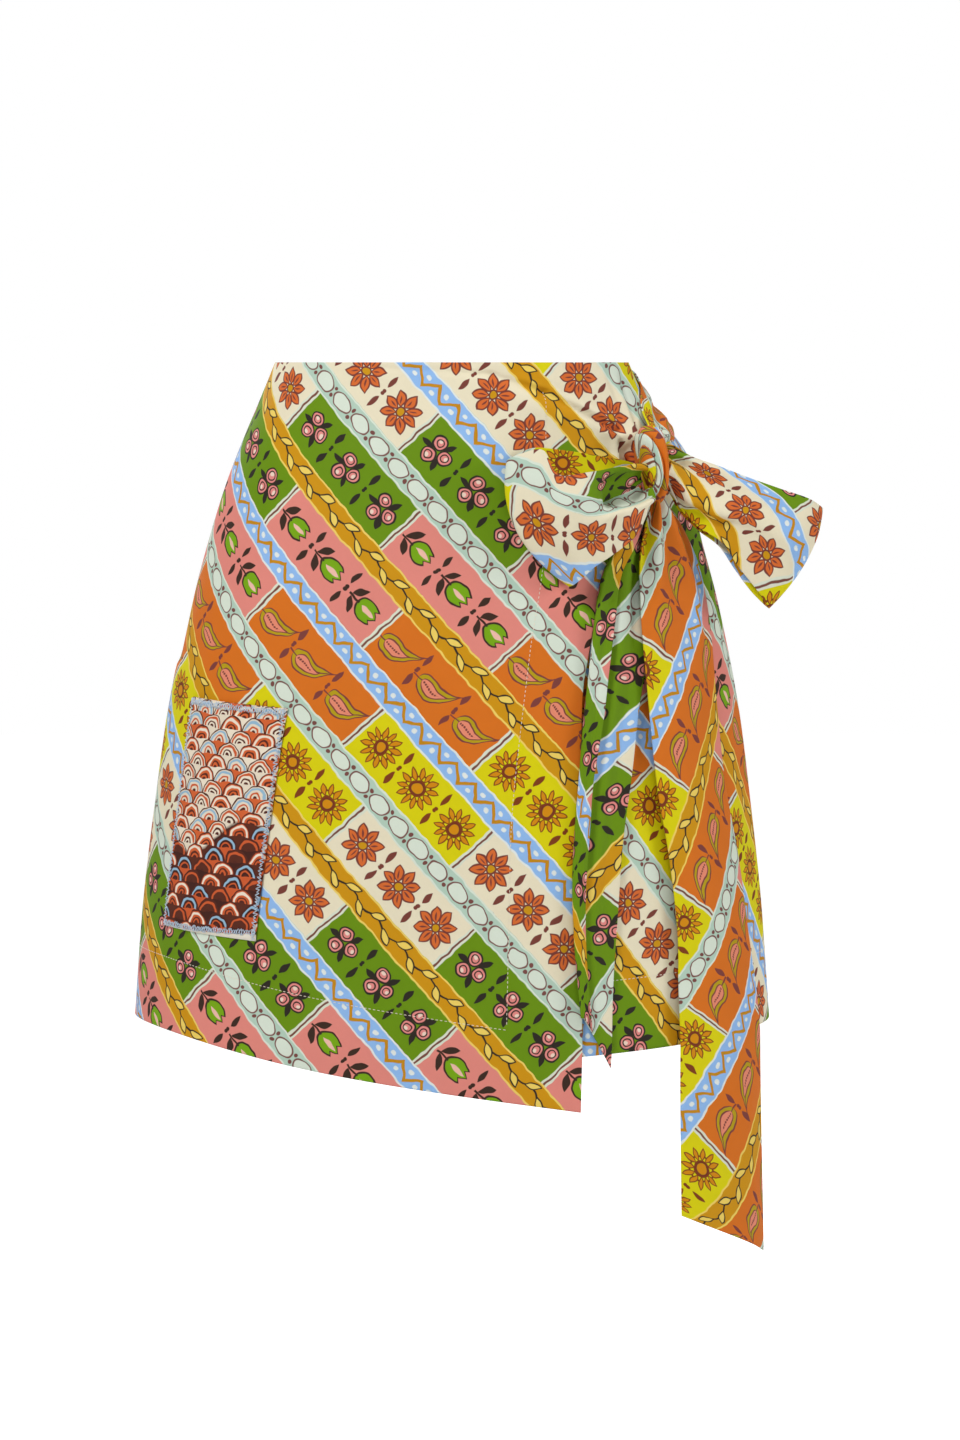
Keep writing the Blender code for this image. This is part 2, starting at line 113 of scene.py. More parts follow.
Lamp = namedtuple("Lamp", "name place width power")
LAMPS = (
    Lamp("key_lamp", (-1.5, -2.0, 2.1), 0.8, 65.0),
    Lamp("hip_lamp", (2.5, -0.6, 0.5), 1.2, 24.0),
    Lamp("front_lamp", (0.6, -3.2, 0.2), 1.6, 8.0),
    Lamp("back_lamp", (-1.2, 2.4, 1.3), 1.4, 40.0),
    Lamp("top_lamp", (0.2, 0.4, 2.6), 1.6, 16.0),
)
for lamp in LAMPS:
    light_data = bpy.data.lights.new(lamp.name, "AREA")
    light_data.shape = "DISK"
    light_data.size = lamp.width
    light_data.energy = lamp.power
    light = bpy.data.objects.new(lamp.name, light_data)
    light.location = lamp.place
    aim = LAMP_TARGET - Vector(lamp.place)
    light.rotation_euler = aim.to_track_quat("-Z", "Y").to_euler()
    light.visible_camera = False
    bpy.context.scene.collection.objects.link(light)

bpy.context.scene.view_settings.view_transform = "Standard"


# ---- Printed cotton ------------------------------------------------------------------------------
# All of the skirt is cut from one smooth cotton, printed with bias strips of coloured blocks, each
# strewn with one kind of flower or fruit, and patterned ribbons between the strips.
class Signal:
    """A value that varies over a surface. Arithmetic on it adds Math nodes to its node tree."""

    def __init__(self, tree, socket):
        self.tree = tree
        self.socket = socket

    def math(self, operation, *values, clamp=False):
        node = self.tree.nodes.new("ShaderNodeMath")
        node.operation = operation
        node.use_clamp = clamp
        for entry, value in zip(node.inputs, values):
            if isinstance(value, Signal):
                self.tree.links.new(value.socket, entry)
            else:
                entry.default_value = value
        return Signal(self.tree, node.outputs[0])

    def __add__(self, other):
        return self.math("ADD", self, other)

    def __radd__(self, other):
        return self.math("ADD", other, self)

    def __sub__(self, other):
        return self.math("SUBTRACT", self, other)

    def __rsub__(self, other):
        return self.math("SUBTRACT", other, self)

    def __mul__(self, other):
        return self.math("MULTIPLY", self, other)

    def __rmul__(self, other):
        return self.math("MULTIPLY", other, self)

    def __truediv__(self, other):
        return self.math("DIVIDE", self, other)

    def __mod__(self, other):
        return self.math("FLOORED_MODULO", self, other)

    def __abs__(self):
        return self.math("ABSOLUTE", self)


def length(x, y):
    return x.math("SQRT", x * x + y * y)


def to_and_fro(value, half_period):
    """A value that runs from 0 up to half a period and back, over and over."""
    return value.math("PINGPONG", value, half_period)


def larger(one, other):
    return one.math("MAXIMUM", one, other)


def smaller(one, other):
    return one.math("MINIMUM", one, other)


def inside(distance, softness=0.35):
    """1 where a distance is below 0, 0 where it is above, with an edge this soft."""
    return distance.math("MULTIPLY_ADD", distance, -1 / softness, 0.5, clamp=True)


def lens(along, aside, half_length, half_width):
    """Distance to a pointed oval, such as a leaf or a petal."""
    share = along / half_length
    return abs(aside) - half_width * (1 - share * share)


def turned(x, y, degrees):
    """Coordinates along and aside of a line that leans by some degrees."""
    lean = math.radians(degrees)
    return x * math.cos(lean) + y * math.sin(lean), y * math.cos(lean) - x * math.sin(lean)


def polar(x, y, petals):
    """A radius, and coordinates along and aside of the nearest petal and of the nearest gap."""
    radius = length(x, y)
    half_gap = math.pi / petals
    turn = to_and_fro(x.math("ARCTAN2", y, x), half_gap)
    along = radius * turn.math("COSINE", turn)
    aside = radius * turn.math("SINE", turn)
    other = half_gap - turn
    between = radius * other.math("COSINE", other), radius * other.math("SINE", other)
    return radius, along, aside, between


def mixed(mask, below, above):
    """One colour over another where a mask is 1. A colour is a signal or three numbers."""
    node = mask.tree.nodes.new("ShaderNodeMix")
    node.data_type = "RGBA"
    mask.tree.links.new(mask.socket, node.inputs[0])
    for entry, colour in ((node.inputs[6], below), (node.inputs[7], above)):
        if isinstance(colour, Signal):
            mask.tree.links.new(colour.socket, entry)
        else:
            entry.default_value = (*colour, 1.0)
    return Signal(mask.tree, node.outputs[2])


def picked(index, rows, name):
    """A named colour from the row of a table that a whole-number index gives."""
    colours = [getattr(row, name) for row in rows]
    node = index.tree.nodes.new("ShaderNodeValToRGB")
    node.color_ramp.interpolation = "CONSTANT"
    elements = node.color_ramp.elements
    elements.remove(elements[1])
    elements[0].position = 0.0
    elements[0].color = (*colours[0], 1.0)
    for place, colour in enumerate(colours[1:], start=1):
        elements.new(place / len(colours)).color = (*colour, 1.0)
    share = (index + 0.5) / len(colours)
    index.tree.links.new(share.socket, node.inputs[0])
    return Signal(index.tree, node.outputs[0])


def new_group(name, inputs, outputs):
    """A node group with named sockets, the signals that enter it and the node they leave by."""
    group = bpy.data.node_groups.new(name, "ShaderNodeTree")
    for label, kind in inputs.items():
        group.interface.new_socket(label, in_out="INPUT", socket_type="NodeSocket" + kind)
    for label, kind in outputs.items():
        group.interface.new_socket(label, in_out="OUTPUT", socket_type="NodeSocket" + kind)
    entry = group.nodes.new("NodeGroupInput")
    leave = group.nodes.new("NodeGroupOutput")
    return group, [Signal(group, entry.outputs[label]) for label in inputs], leave


def put_out(leave, **signals):
    for label, signal in signals.items():
        signal.tree.links.new(signal.socket, leave.inputs[label])


def use_group(tree, group, **signals):
    """Place a group in a tree, feed it and return its outputs by name."""
    node = tree.nodes.new("ShaderNodeGroup")
    node.node_tree = group
    for label, signal in signals.items():
        tree.links.new(signal.socket, node.inputs[label])
    return {output.name: Signal(tree, output) for output in node.outputs}


def split_vector(vector):
    node = vector.tree.nodes.new("ShaderNodeSeparateXYZ")
    vector.tree.links.new(vector.socket, node.inputs[0])
    return Signal(vector.tree, node.outputs[0]), Signal(vector.tree, node.outputs[1])


def noise(vector, scale, detail=2.0):
    """Smooth noise from 0 to 1 over a vector's first two coordinates, and its colours."""
    node = vector.tree.nodes.new("ShaderNodeTexNoise")
    node.noise_dimensions = "2D"
    node.inputs["Scale"].default_value = scale
    node.inputs["Detail"].default_value = detail
    vector.tree.links.new(vector.socket, node.inputs["Vector"])
    return Signal(vector.tree, node.outputs[0]), Signal(vector.tree, node.outputs[1])


def hand_drawn(place, scale, reach):
    """A place's two coordinates, straying a little as the lines of a drawing do."""
    _, stray = noise(place, scale, 1.0)
    stray_x, stray_y = split_vector(stray)
    place_x, place_y = split_vector(place)
    return place_x + (stray_x - 0.5) * reach, place_y + (stray_y - 0.5) * reach


def linear(red, green, blue):
    """A colour in 0 to 255 as the linear light that shaders work in."""
    shares = (value / 255 for value in (red, green, blue))
    return tuple(s / 12.92 if s <= 0.04045 else ((s + 0.055) / 1.055) ** 2.4 for s in shares)


# Sizes on the print are in millimetres of flat cloth.
MOTIF_INPUTS = {"Along": "Float", "Across": "Float"}
MOTIF_OUTPUTS = {"Fill": "Float", "Accent": "Float", "Line": "Float"}
LINE = 0.6


def daisy_group():
    """Eight narrow petals round a button."""
    group, (x, y), leave = new_group("Daisy", MOTIF_INPUTS, MOTIF_OUTPUTS)
    radius, along, aside, _ = polar(x, y, 8)
    petal = lens(along - 9.0, aside, 5.6, 3.1)
    button = radius - 3.1
    vein = lens(along - 8.0, aside, 3.0, 0.55)
    outline = larger(inside(abs(petal) - LINE), inside(abs(button) - LINE))
    put_out(leave, Fill=inside(petal), Accent=inside(button), Line=larger(outline, inside(vein)))
    return group


def tulip_group():
    """A cup with a zigzag rim on a short stem between two leaves."""
    group, (x, y), leave = new_group("Tulip", MOTIF_INPUTS, MOTIF_OUTPUTS)
    bowl = length((x - 3.0) / 1.3, y) - 7.2
    rim = x - 12.0 + 1.5 * to_and_fro(y, 3.1)
    cup = larger(bowl, rim)
    heart = lens(x - 3.5, y, 6.0, 1.7)
    stem = larger(abs(y) - 0.7, abs(x + 10.0) - 5.0)
    leaf = lens(*turned(x + 9.0, abs(y) - 5.6, 52.0), 6.4, 2.5)
    line = larger(inside(abs(cup) - LINE), larger(inside(stem), inside(leaf)))
    put_out(leave, Fill=inside(cup), Accent=inside(heart), Line=line)
    return group


def sun_group():
    """A disc with a ring and twelve pointed rays."""
    group, (x, y), leave = new_group("Sun", MOTIF_INPUTS, MOTIF_OUTPUTS)
    radius, along, aside, between = polar(x, y, 12)
    ray = lens(along - 10.0, aside, 4.4, 1.7)
    bead = length(between[0] - 8.6, between[1]) - 0.75
    ring = abs(radius - 5.2) - LINE
    face = radius - 3.4
    band = abs(radius - 4.3) - 0.9
    line = larger(inside(ring), larger(inside(bead), inside(abs(ray) - 0.4)))
    put_out(leave, Fill=inside(smaller(ray, face)), Accent=inside(band), Line=line)
    return group


def berry_group():
    """Three ringed berries with a small leaf between each two."""
    group, (x, y), leave = new_group("Berries", MOTIF_INPUTS, MOTIF_OUTPUTS)
    _, along, aside, between = polar(x, y, 3)
    berry = length(along - 6.4, aside) - 5.0
    leaf = lens(between[0] - 9.0, between[1], 5.0, 2.1)
    shine = length(along - 7.6, aside) - 1.5
    rings = larger(inside(abs(berry) - LINE), inside(abs(berry + 2.3) - 0.45))
    put_out(leave, Fill=inside(berry), Accent=inside(shine), Line=larger(rings, inside(leaf)))
    return group


def paisley_group():
    """A drop whose tail curls to one side, with a second drop and a row of beads inside it."""
    group, (x, y), leave = new_group("Paisley", MOTIF_INPUTS, MOTIF_OUTPUTS)
    curl_start = larger(x + 1.0, 0.0)
    bent = abs(y + 3.2 - 0.042 * curl_start * curl_start)

    def drop(start, run, width):
        share = smaller(larger(x - start, 0.0) / run, 1.0)
        return bent - width * x.math("SQRT", share) * (1.0 - share)

    outer = drop(-14.5, 30.0, 19.0)
    inner = drop(-11.0, 20.0, 11.0)
    beads = length(to_and_fro(x + 0.6, 1.9) - 0.95, bent) - 0.75
    core = drop(-9.6, 13.0, 7.0)
    line = larger(inside(abs(outer) - LINE), inside(abs(inner) - 0.5))
    line = larger(line, inside(core) * inside(beads))
    put_out(leave, Fill=inside(outer), Accent=inside(inner), Line=line)
    return group


Ground = namedtuple("Ground", "motif cloth fill accent line")
CREAM = linear(236, 226, 196)
PINK = linear(228, 138, 126)
YELLOW = linear(220, 210, 2)
GREEN = linear(106, 144, 10)
ORANGE = linear(218, 114, 28)
GROUNDS = (
    Ground(daisy_group(), CREAM, linear(218, 108, 48), linear(206, 150, 16), linear(122, 62, 52)),
    Ground(tulip_group(), PINK, linear(120, 168, 16), linear(240, 190, 170), linear(60, 42, 32)),
    Ground(sun_group(), YELLOW, linear(214, 140, 8), linear(120, 50, 30), linear(128, 60, 22)),
    Ground(berry_group(), GREEN, linear(230, 140, 134), linear(240, 214, 196), linear(46, 40, 32)),
    Ground(
        paisley_group(), ORANGE, linear(184, 158, 20), linear(232, 140, 112), linear(126, 64, 58)
    ),
)

RIBBON_OUTPUTS = {"Light": "Float", "Dark": "Float"}


def vine_group():
    """A wavy stem with leaves on alternate sides."""
    group, (x, y), leave = new_group("Vine", MOTIF_INPUTS, RIBBON_OUTPUTS)
    step = 13.0
    stem = abs(y - 1.8 * x.math("SINE", x * (math.pi / step))) - 0.7
    cell = x.math("FLOOR", x / step)
    side = 1 - 2 * (cell % 2.0)
    leaf = lens(*turned(x % step - step / 2, y * side - 3.0, 28.0), 6.6, 2.9)
    put_out(leave, Light=inside(leaf + 1.0), Dark=larger(inside(stem), inside(leaf)))
    return group


def chain_group():
    """Ringed ovals strung on dots."""
    group, (x, y), leave = new_group("Chain", MOTIF_INPUTS, RIBBON_OUTPUTS)
    step = 20.0
    oval = length((x % step - step / 2) / 1.5, y) - 4.9
    seed = length((x % step - step / 2) / 1.5, y) - 1.9
    dot = length((x + step / 2) % step - step / 2, abs(y) - 3.0) - 1.5
    dark = larger(inside(abs(oval) - 0.8), larger(inside(seed), inside(dot)))
    put_out(leave, Light=inside(oval), Dark=dark)
    return group


def zigzag_group():
    """A zigzag between rows of dots."""
    group, (x, y), leave = new_group("Zigzag", MOTIF_INPUTS, RIBBON_OUTPUTS)
    half_step = 9.0
    line = abs(y + 4.2 - to_and_fro(x, half_step) * 0.93) - 1.5
    dot = length(to_and_fro(x, half_step) - 0.5, y - 2.6) - 1.5
    other_dot = length(to_and_fro(x, half_step) - half_step + 0.5, y + 2.6) - 1.5
    put_out(leave, Light=larger(inside(dot), inside(other_dot)), Dark=inside(line))
    return group


Ribbon = namedtuple("Ribbon", "motif cloth light dark")
MUSTARD = linear(208, 148, 12)
AQUA = linear(182, 208, 190)
SKY = linear(146, 188, 238)
RIBBONS = (
    Ribbon(vine_group(), MUSTARD, linear(240, 210, 100), linear(50, 42, 34)),
    Ribbon(chain_group(), AQUA, linear(220, 230, 214), linear(122, 74, 68)),
    Ribbon(zigzag_group(), SKY, linear(228, 234, 230), linear(196, 136, 22)),
)

STRIP_PITCH = 54.0
GROUND_WIDTH = 37.0
RIBBON_WIDTH = STRIP_PITCH - GROUND_WIDTH
CELL = 37.0
BLOCK = 3 * CELL
STAGGER = 41.0


def chosen_masks(tree, index, rows, along, across):
    """The masks of the motif from the row of a table that a whole-number index gives."""
    totals = {}
    for number, row in enumerate(rows):
        chosen = index.math("COMPARE", index, float(number), 0.5)
        masks = use_group(tree, row.motif, Along=along, Across=across)
        for label, mask in masks.items():
            part = chosen * mask
            totals[label] = totals[label] + part if label in totals else part
    return totals


def print_group():
    """The whole print over a place in millimetres of flat cloth."""
    outputs = {"Colour": "Color", "Ink": "Float"}
    group, (place,), leave = new_group("Printed cotton", {"Place": "Vector"}, outputs)
    along, across = hand_drawn(place, scale=0.10, reach=2.6)

    strip = across.math("FLOOR", across / STRIP_PITCH)
    within = across % STRIP_PITCH
    shifted = along + strip * STAGGER
    block = shifted.math("FLOOR", shifted / BLOCK)
    motif_x = shifted % CELL - CELL / 2
    motif_y = within - GROUND_WIDTH / 2
    index = (strip * 2.0 + block * 3.0) % float(len(GROUNDS))
    masks = chosen_masks(group, index, GROUNDS, motif_x, motif_y)
    colour = picked(index, GROUNDS, "cloth")
    colour = mixed(masks["Fill"], colour, picked(index, GROUNDS, "fill"))
    colour = mixed(masks["Accent"], colour, picked(index, GROUNDS, "accent"))

    # Small sprigs stand between two motifs.
    sprig_x, sprig_y = CELL / 2 - abs(motif_x), abs(motif_y) - 9.5
    sprig = smaller(lens(sprig_y, sprig_x, 5.5, 2.0), length(sprig_x, sprig_y + 8.6) - 1.4)
    line = larger(masks["Line"], inside(sprig))
    colour = mixed(line, colour, picked(index, GROUNDS, "line"))

    # A thin ribbon crosses the strip where two blocks meet.
    seam = to_and_fro(shifted, BLOCK / 2) - 2.3
    colour = mixed(inside(seam), colour, linear(222, 226, 206))
    colour = mixed(inside(seam + 1.6), colour, linear(122, 74, 62))

    # A patterned ribbon with pale edges runs between two strips.
    ribbon_y = within - (GROUND_WIDTH + STRIP_PITCH) / 2
    ribbon_index = strip % float(len(RIBBONS))
    masks = chosen_masks(group, ribbon_index, RIBBONS, along, ribbon_y)
    pale = picked(ribbon_index, RIBBONS, "light")
    ribbon = picked(ribbon_index, RIBBONS, "cloth")
    ribbon = mixed(masks["Dark"], ribbon, picked(ribbon_index, RIBBONS, "dark"))
    ribbon = mixed(masks["Light"], ribbon, pale)
    ribbon = mixed(inside(RIBBON_WIDTH / 2 - 1.3 - abs(ribbon_y)), ribbon, pale)
    in_ribbon = inside(abs(ribbon_y) - RIBBON_WIDTH / 2, 0.6)
    put_out(leave, Colour=mixed(in_ribbon, colour, ribbon), Ink=larger(in_ribbon, line))
    return group


THREAD_PITCH = 0.55


def weave_group():
    """Plain weave and the slight unevenness of washed cotton, over millimetres of flat cloth."""
    outputs = {"Height": "Float", "Tone": "Float", "Roughness": "Float"}
    group, (place,), leave = new_group("Cotton weave", {"Place": "Vector"}, outputs)
    x, y = (coordinate * (math.pi / THREAD_PITCH) for coordinate in split_vector(place))
    threads = abs(x.math("SINE", x)) * abs(y.math("SINE", y))
    rumple, _ = noise(place, 0.035)
    slub, _ = noise(place, 0.5)
    height = threads * 0.05 + rumple * 0.55 + slub * 0.03
    tone = 0.955 + rumple * 0.05 + slub * 0.04
    put_out(leave, Height=height, Tone=tone, Roughness=0.62 + slub * 0.16)
    return group


PRINT = print_group()
WEAVE = weave_group()
REVERSE_WHITE = linear(240, 234, 218)


def cloth_material(name, pattern, turn=0.0, along=0.0, across=0.0, reverse=False):
    """Cotton with a pattern, turned in degrees and shifted in millimetres by how it was cut."""
    material, tree, shader = new_material(name)
    flat = tree.nodes.new("ShaderNodeUVMap")
    flat.uv_map = "flat"
    lay = tree.nodes.new("ShaderNodeMapping")
    lay.inputs["Scale"].default_value = (1000.0, 1000.0, 1000.0)
    lay.inputs["Rotation"].default_value = (0.0, 0.0, math.radians(-turn))
    lay.inputs["Location"].default_value = (along, across, 0.0)
    tree.links.new(flat.outputs[0], lay.inputs[0])
    place = Signal(tree, lay.outputs[0])
    printed = use_group(tree, pattern, Place=place)
    weave = use_group(tree, WEAVE, Place=place)
    colour = printed["Colour"]
    if reverse:
        washed = printed["Ink"].math("MULTIPLY_ADD", printed["Ink"], -0.06, 0.60)
        colour = mixed(washed, colour, REVERSE_WHITE)
    shade = tree.nodes.new("ShaderNodeVectorMath")
    shade.operation = "SCALE"
    tree.links.new(colour.socket, shade.inputs[0])
    tree.links.new(weave["Tone"].socket, shade.inputs["Scale"])
    tree.links.new(shade.outputs[0], shader.inputs["Base Color"])
    tree.links.new(weave["Roughness"].socket, shader.inputs["Roughness"])
    relief = tree.nodes.new("ShaderNodeBump")
    relief.inputs["Strength"].default_value = 1.0
    relief.inputs["Distance"].default_value = 0.001
    tree.links.new(weave["Height"].socket, relief.inputs["Height"])
    tree.links.new(relief.outputs[0], shader.inputs["Normal"])
    shader.inputs["Specular IOR Level"].default_value = 0.16
    shader.inputs["Sheen Weight"].default_value = 0.03
    shader.inputs["Sheen Roughness"].default_value = 0.4
    return material


def face_and_reverse(name, turn, along, across):
    """The printed face of a panel and its washed-out reverse."""
    return [
        cloth_material(name + "_face", PRINT, turn, along, across),
        cloth_material(name + "_reverse", PRINT, turn, along, across, reverse=True),
    ]


# ---- Front overlap -------------------------------------------------------------------------------
# The outer front panel, from the right side seam to its free edge. One layer of cotton with a wide
# hem and a wide facing. The tie pulls at its top corner, which is gathered into the knot.

# The face of a panel that lies on the body stands one skin off the worn shape.
SKIN = 0.0015
LAYER_GAP = 0.0009
LAYER_RISE_START = -86.0
LAYER_RISE_END = -50.0
PANEL_THICKNESS = 0.0008
SKIRT_LENGTH = 0.465
RIGHT_SEAM = -90.0
CORNER_DROP = 0.046
CORNER_POWER = 1.65
ROW_CROWDING = 1.5
HEM_ROWS_START = 0.4
HEM_WIDTH = 0.050
HEM_RISE = 0.0057
HEM_RISE_ANGLE = -58.0
HEM_RISE_REACH = 27.0
SETTLING_TURNS = 4

Level = namedtuple("Level", "drop half_width front_depth back_depth")
WORN_SHAPE = (
    Level(0.000, 0.1235, 0.090, 0.088),
    Level(0.027, 0.1346, 0.098, 0.101),
    Level(0.055, 0.1464, 0.106, 0.113),
    Level(0.083, 0.1578, 0.112, 0.122),
    Level(0.126, 0.1725, 0.120, 0.137),
    Level(0.168, 0.1848, 0.128, 0.148),
    Level(0.240, 0.2003, 0.138, 0.156),
    Level(0.311, 0.2103, 0.145, 0.158),
    Level(0.383, 0.2190, 0.150, 0.160),
    Level(0.468, 0.2258, 0.155, 0.162),
)

Station = namedtuple("Station", "drop angle")
FREE_EDGE = (
    Station(0.000, 77.0),
    Station(0.024, 74.0),
    Station(0.046, 67.0),
    Station(0.066, 57.0),
    Station(0.095, 48.0),
    Station(0.129, 39.5),
    Station(0.162, 33.1),
    Station(0.196, 29.2),
    Station(0.230, 26.5),
    Station(0.298, 25.1),
    Station(0.366, 24.1),
    Station(0.434, 23.4),
    Station(0.511, 22.9),
)

# Folds in a panel between two places on it: ridges, or troughs where the height is below 0.
Fold = namedtuple("Fold", "start_angle start_drop end_angle end_drop height reach")
OVERLAP_FOLDS = (
    Fold(56.0, 0.050, 9.0, 0.017, 0.0026, 0.010),
    Fold(56.0, 0.056, 38.0, 0.068, 0.0030, 0.008),
    Fold(60.0, 0.046, 54.0, 0.008, 0.0016, 0.009),
    Fold(55.0, 0.062, 55.0, 0.060, 0.0045, 0.022),
    Fold(24.0, 0.300, 6.0, 0.470, 0.0020, 0.030),
    # The long pull from the tie along the waist: a wide hollow, and a sharp crease under it.
    Fold(52.0, 0.0440, 34.0, 0.0245, -0.0020, 0.0075),
    Fold(34.0, 0.0245, 8.0, 0.0050, -0.0016, 0.0065),
    Fold(51.0, 0.0470, 28.1, 0.0199, -0.0064, 0.0026),
    Fold(29.0, 0.0206, 11.9, 0.0082, -0.0032, 0.0025),
    Fold(50.0, 0.0420, 22.0, 0.0117, 0.0040, 0.0036),
    Fold(11.9, 0.0082, -6.3, 0.0056, -0.0016, 0.0022),
    Fold(-6.3, 0.0056, -34.0, 0.0027, -0.0009, 0.0022),
    Fold(53.0, 0.0540, 40.0, 0.0400, 0.0022, 0.0048),
    # Short pleats where the corner gathers into the knot, and the hollow that they leave.
    Fold(47.6, 0.0680, 50.6, 0.0520, -0.0030, 0.0024),
    Fold(46.2, 0.0690, 49.2, 0.0520, 0.0042, 0.0030),
    Fold(51.5, 0.0680, 52.6, 0.0540, -0.0050, 0.0056),
    Fold(54.0, 0.0560, 44.0, 0.0540, -0.0020, 0.0026),
    Fold(54.0, 0.0620, 41.0, 0.0615, -0.0026, 0.0028),
    Fold(53.0, 0.0690, 36.0, 0.0770, -0.0024, 0.0034),
    Fold(53.0, 0.0730, 38.0, 0.0900, 0.0020, 0.0046),
    Fold(60.0, 0.0440, 65.0, 0.0080, -0.0022, 0.0034),
    Fold(57.0, 0.0430, 56.0, 0.0100, -0.0018, 0.0034),
    Fold(58.5, 0.0430, 60.5, 0.0100, 0.0014, 0.0040),
    # Soft drag lines below the bow and slow waves over the hips.
    Fold(50.0, 0.088, 20.0, 0.200, -0.0014, 0.0130),
    Fold(45.0, 0.100, 26.0, 0.240, 0.0014, 0.0120),
    Fold(-40.0, 0.100, -52.0, 0.400, 0.0012, 0.0300),
    Fold(-12.0, 0.150, -16.0, 0.440, -0.0010, 0.0340),
    Fold(4.0, 0.070, -2.0, 0.300, 0.0010, 0.0300),
    Fold(-76.0, 0.060, -80.0, 0.420, 0.0014, 0.0260),
    # The right hip is a little flat, where the two panels are seamed.
    Fold(-90.0, 0.206, -90.0, 0.214, -0.0034, 0.0950),
)


def smooth_value(table, name, position):
    """Read a named column of a table at any position, along a smooth curve through its rows."""
    places = [row[0] for row in table]
    values = [getattr(row, name) for row in table]
    position = min(max(position, places[0]), places[-1])
    index = max(i for i in range(len(places) - 1) if places[i] <= position)
    before, after = max(index - 1, 0), min(index + 2, len(places) - 1)
    span = places[index + 1] - places[index]
    slope_in = (values[index + 1] - values[before]) / (places[index + 1] - places[before])
    slope_out = (values[after] - values[index]) / (places[after] - places[index])
    share = (position - places[index]) / span
    blend = share * share * (3 - 2 * share)
    bow_in = share * (1 - share) ** 2 * span * slope_in
    bow_out = share * share * (share - 1) * span * slope_out
    return values[index] + (values[index + 1] - values[index]) * blend + bow_in + bow_out


def soft_step(start, end, value):
    """0 before start, 1 after end, and a smooth rise between them."""
    share = min(max((value - start) / (end - start), 0.0), 1.0)
    return share * share * (3 - 2 * share)


PUFF_ANGLE = 92.0
PUFF_DROP = 0.068
PUFF_HEIGHT = 0.015
PUFF_REACH_ROUND = 24.0
PUFF_REACH_DOWN = 0.030


def hip_puff(angle, drop):
    """Cloth pushed out over the hip by the pull of the tie."""
    sideways = (angle - PUFF_ANGLE) / PUFF_REACH_ROUND
    downward = (drop - PUFF_DROP) / PUFF_REACH_DOWN
    return PUFF_HEIGHT * math.exp(-sideways * sideways - downward * downward)


def worn_point(angle, drop, out=0.0):
    """A point of the worn shape, moved out from it."""
    turn = math.radians(angle)
    half_width = smooth_value(WORN_SHAPE, "half_width", drop)
    side = "front_depth" if math.cos(turn) > 0 else "back_depth"
    depth = smooth_value(WORN_SHAPE, side, drop)
    outward = Vector((math.sin(turn) / half_width, -math.cos(turn) / depth, 0)).normalized()
    point = Vector((half_width * math.sin(turn), -depth * math.cos(turn), -drop))
    return point + outward * (out + hip_puff(angle, drop))


def cloth_width(start, angle, drop):
    """Cloth between two angles at one level, by Simpson's rule."""
    half_width = smooth_value(WORN_SHAPE, "half_width", drop)
    side = "front_depth" if abs(math.remainder(start, 360.0)) < 90.0 else "back_depth"
    depth = smooth_value(WORN_SHAPE, side, drop)
    steps = 4
    total = 0.0
    for step in range(steps + 1):
        turn = math.radians(start + (angle - start) * step / steps)
        weight = 1 if step in (0, steps) else 4 if step % 2 else 2
        total += weight * math.hypot(half_width * math.cos(turn), depth * math.sin(turn))
    return total * math.radians(angle - start) / (3 * steps)


RIDGE_FADE = 0.9
RIDGE_LIMIT = 3.0


def ridge(here, start, end, height, reach):
    """Height of a ridge between two places of flat cloth, fading towards its end."""
    run = end - start
    share = min(max((here - start).dot(run) / max(run.length_squared, 1e-9), 0.0), 1.0)
    aside = (here - start - run * share).length / reach
    if aside > RIDGE_LIMIT:
        return 0.0
    return height * math.sqrt(1 - RIDGE_FADE * share) * math.exp(-aside * aside)


def fold_height(folds, angle, drop):
    """How far the folds of a panel lift it at one point."""
    radius = smooth_value(WORN_SHAPE, "half_width", drop)

    def flat(fold_angle, fold_drop):
        return Vector((math.radians(fold_angle) * radius, fold_drop))

    here = flat(angle, drop)
    total = 0.0
    for fold in folds:
        start = flat(fold.start_angle, fold.start_drop)
        end = flat(fold.end_angle, fold.end_drop)
        total += ridge(here, start, end, fold.height, fold.reach)
    return total


def crowded(share, crowding):
    """A share of the way across, with its steps closer together near both edges."""
    return share - crowding / math.tau * math.sin(math.tau * share)


EDGE_CROWDING = 0.7


def made_up(name, shape, materials):
    """A finished bmesh as a smoothly shaded piece of the skirt."""
    mesh = bpy.data.meshes.new(name)
    shape.to_mesh(mesh)
    shape.free()
    mesh.shade_smooth()
    for material in materials:
        mesh.materials.append(material)
    piece = bpy.data.objects.new(name, mesh)
    bpy.context.scene.collection.objects.link(piece)
    return piece


def stand_in(piece, node):
    """Fix a piece to the body in place of a solid."""
    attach(piece, "root")
    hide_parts(node)


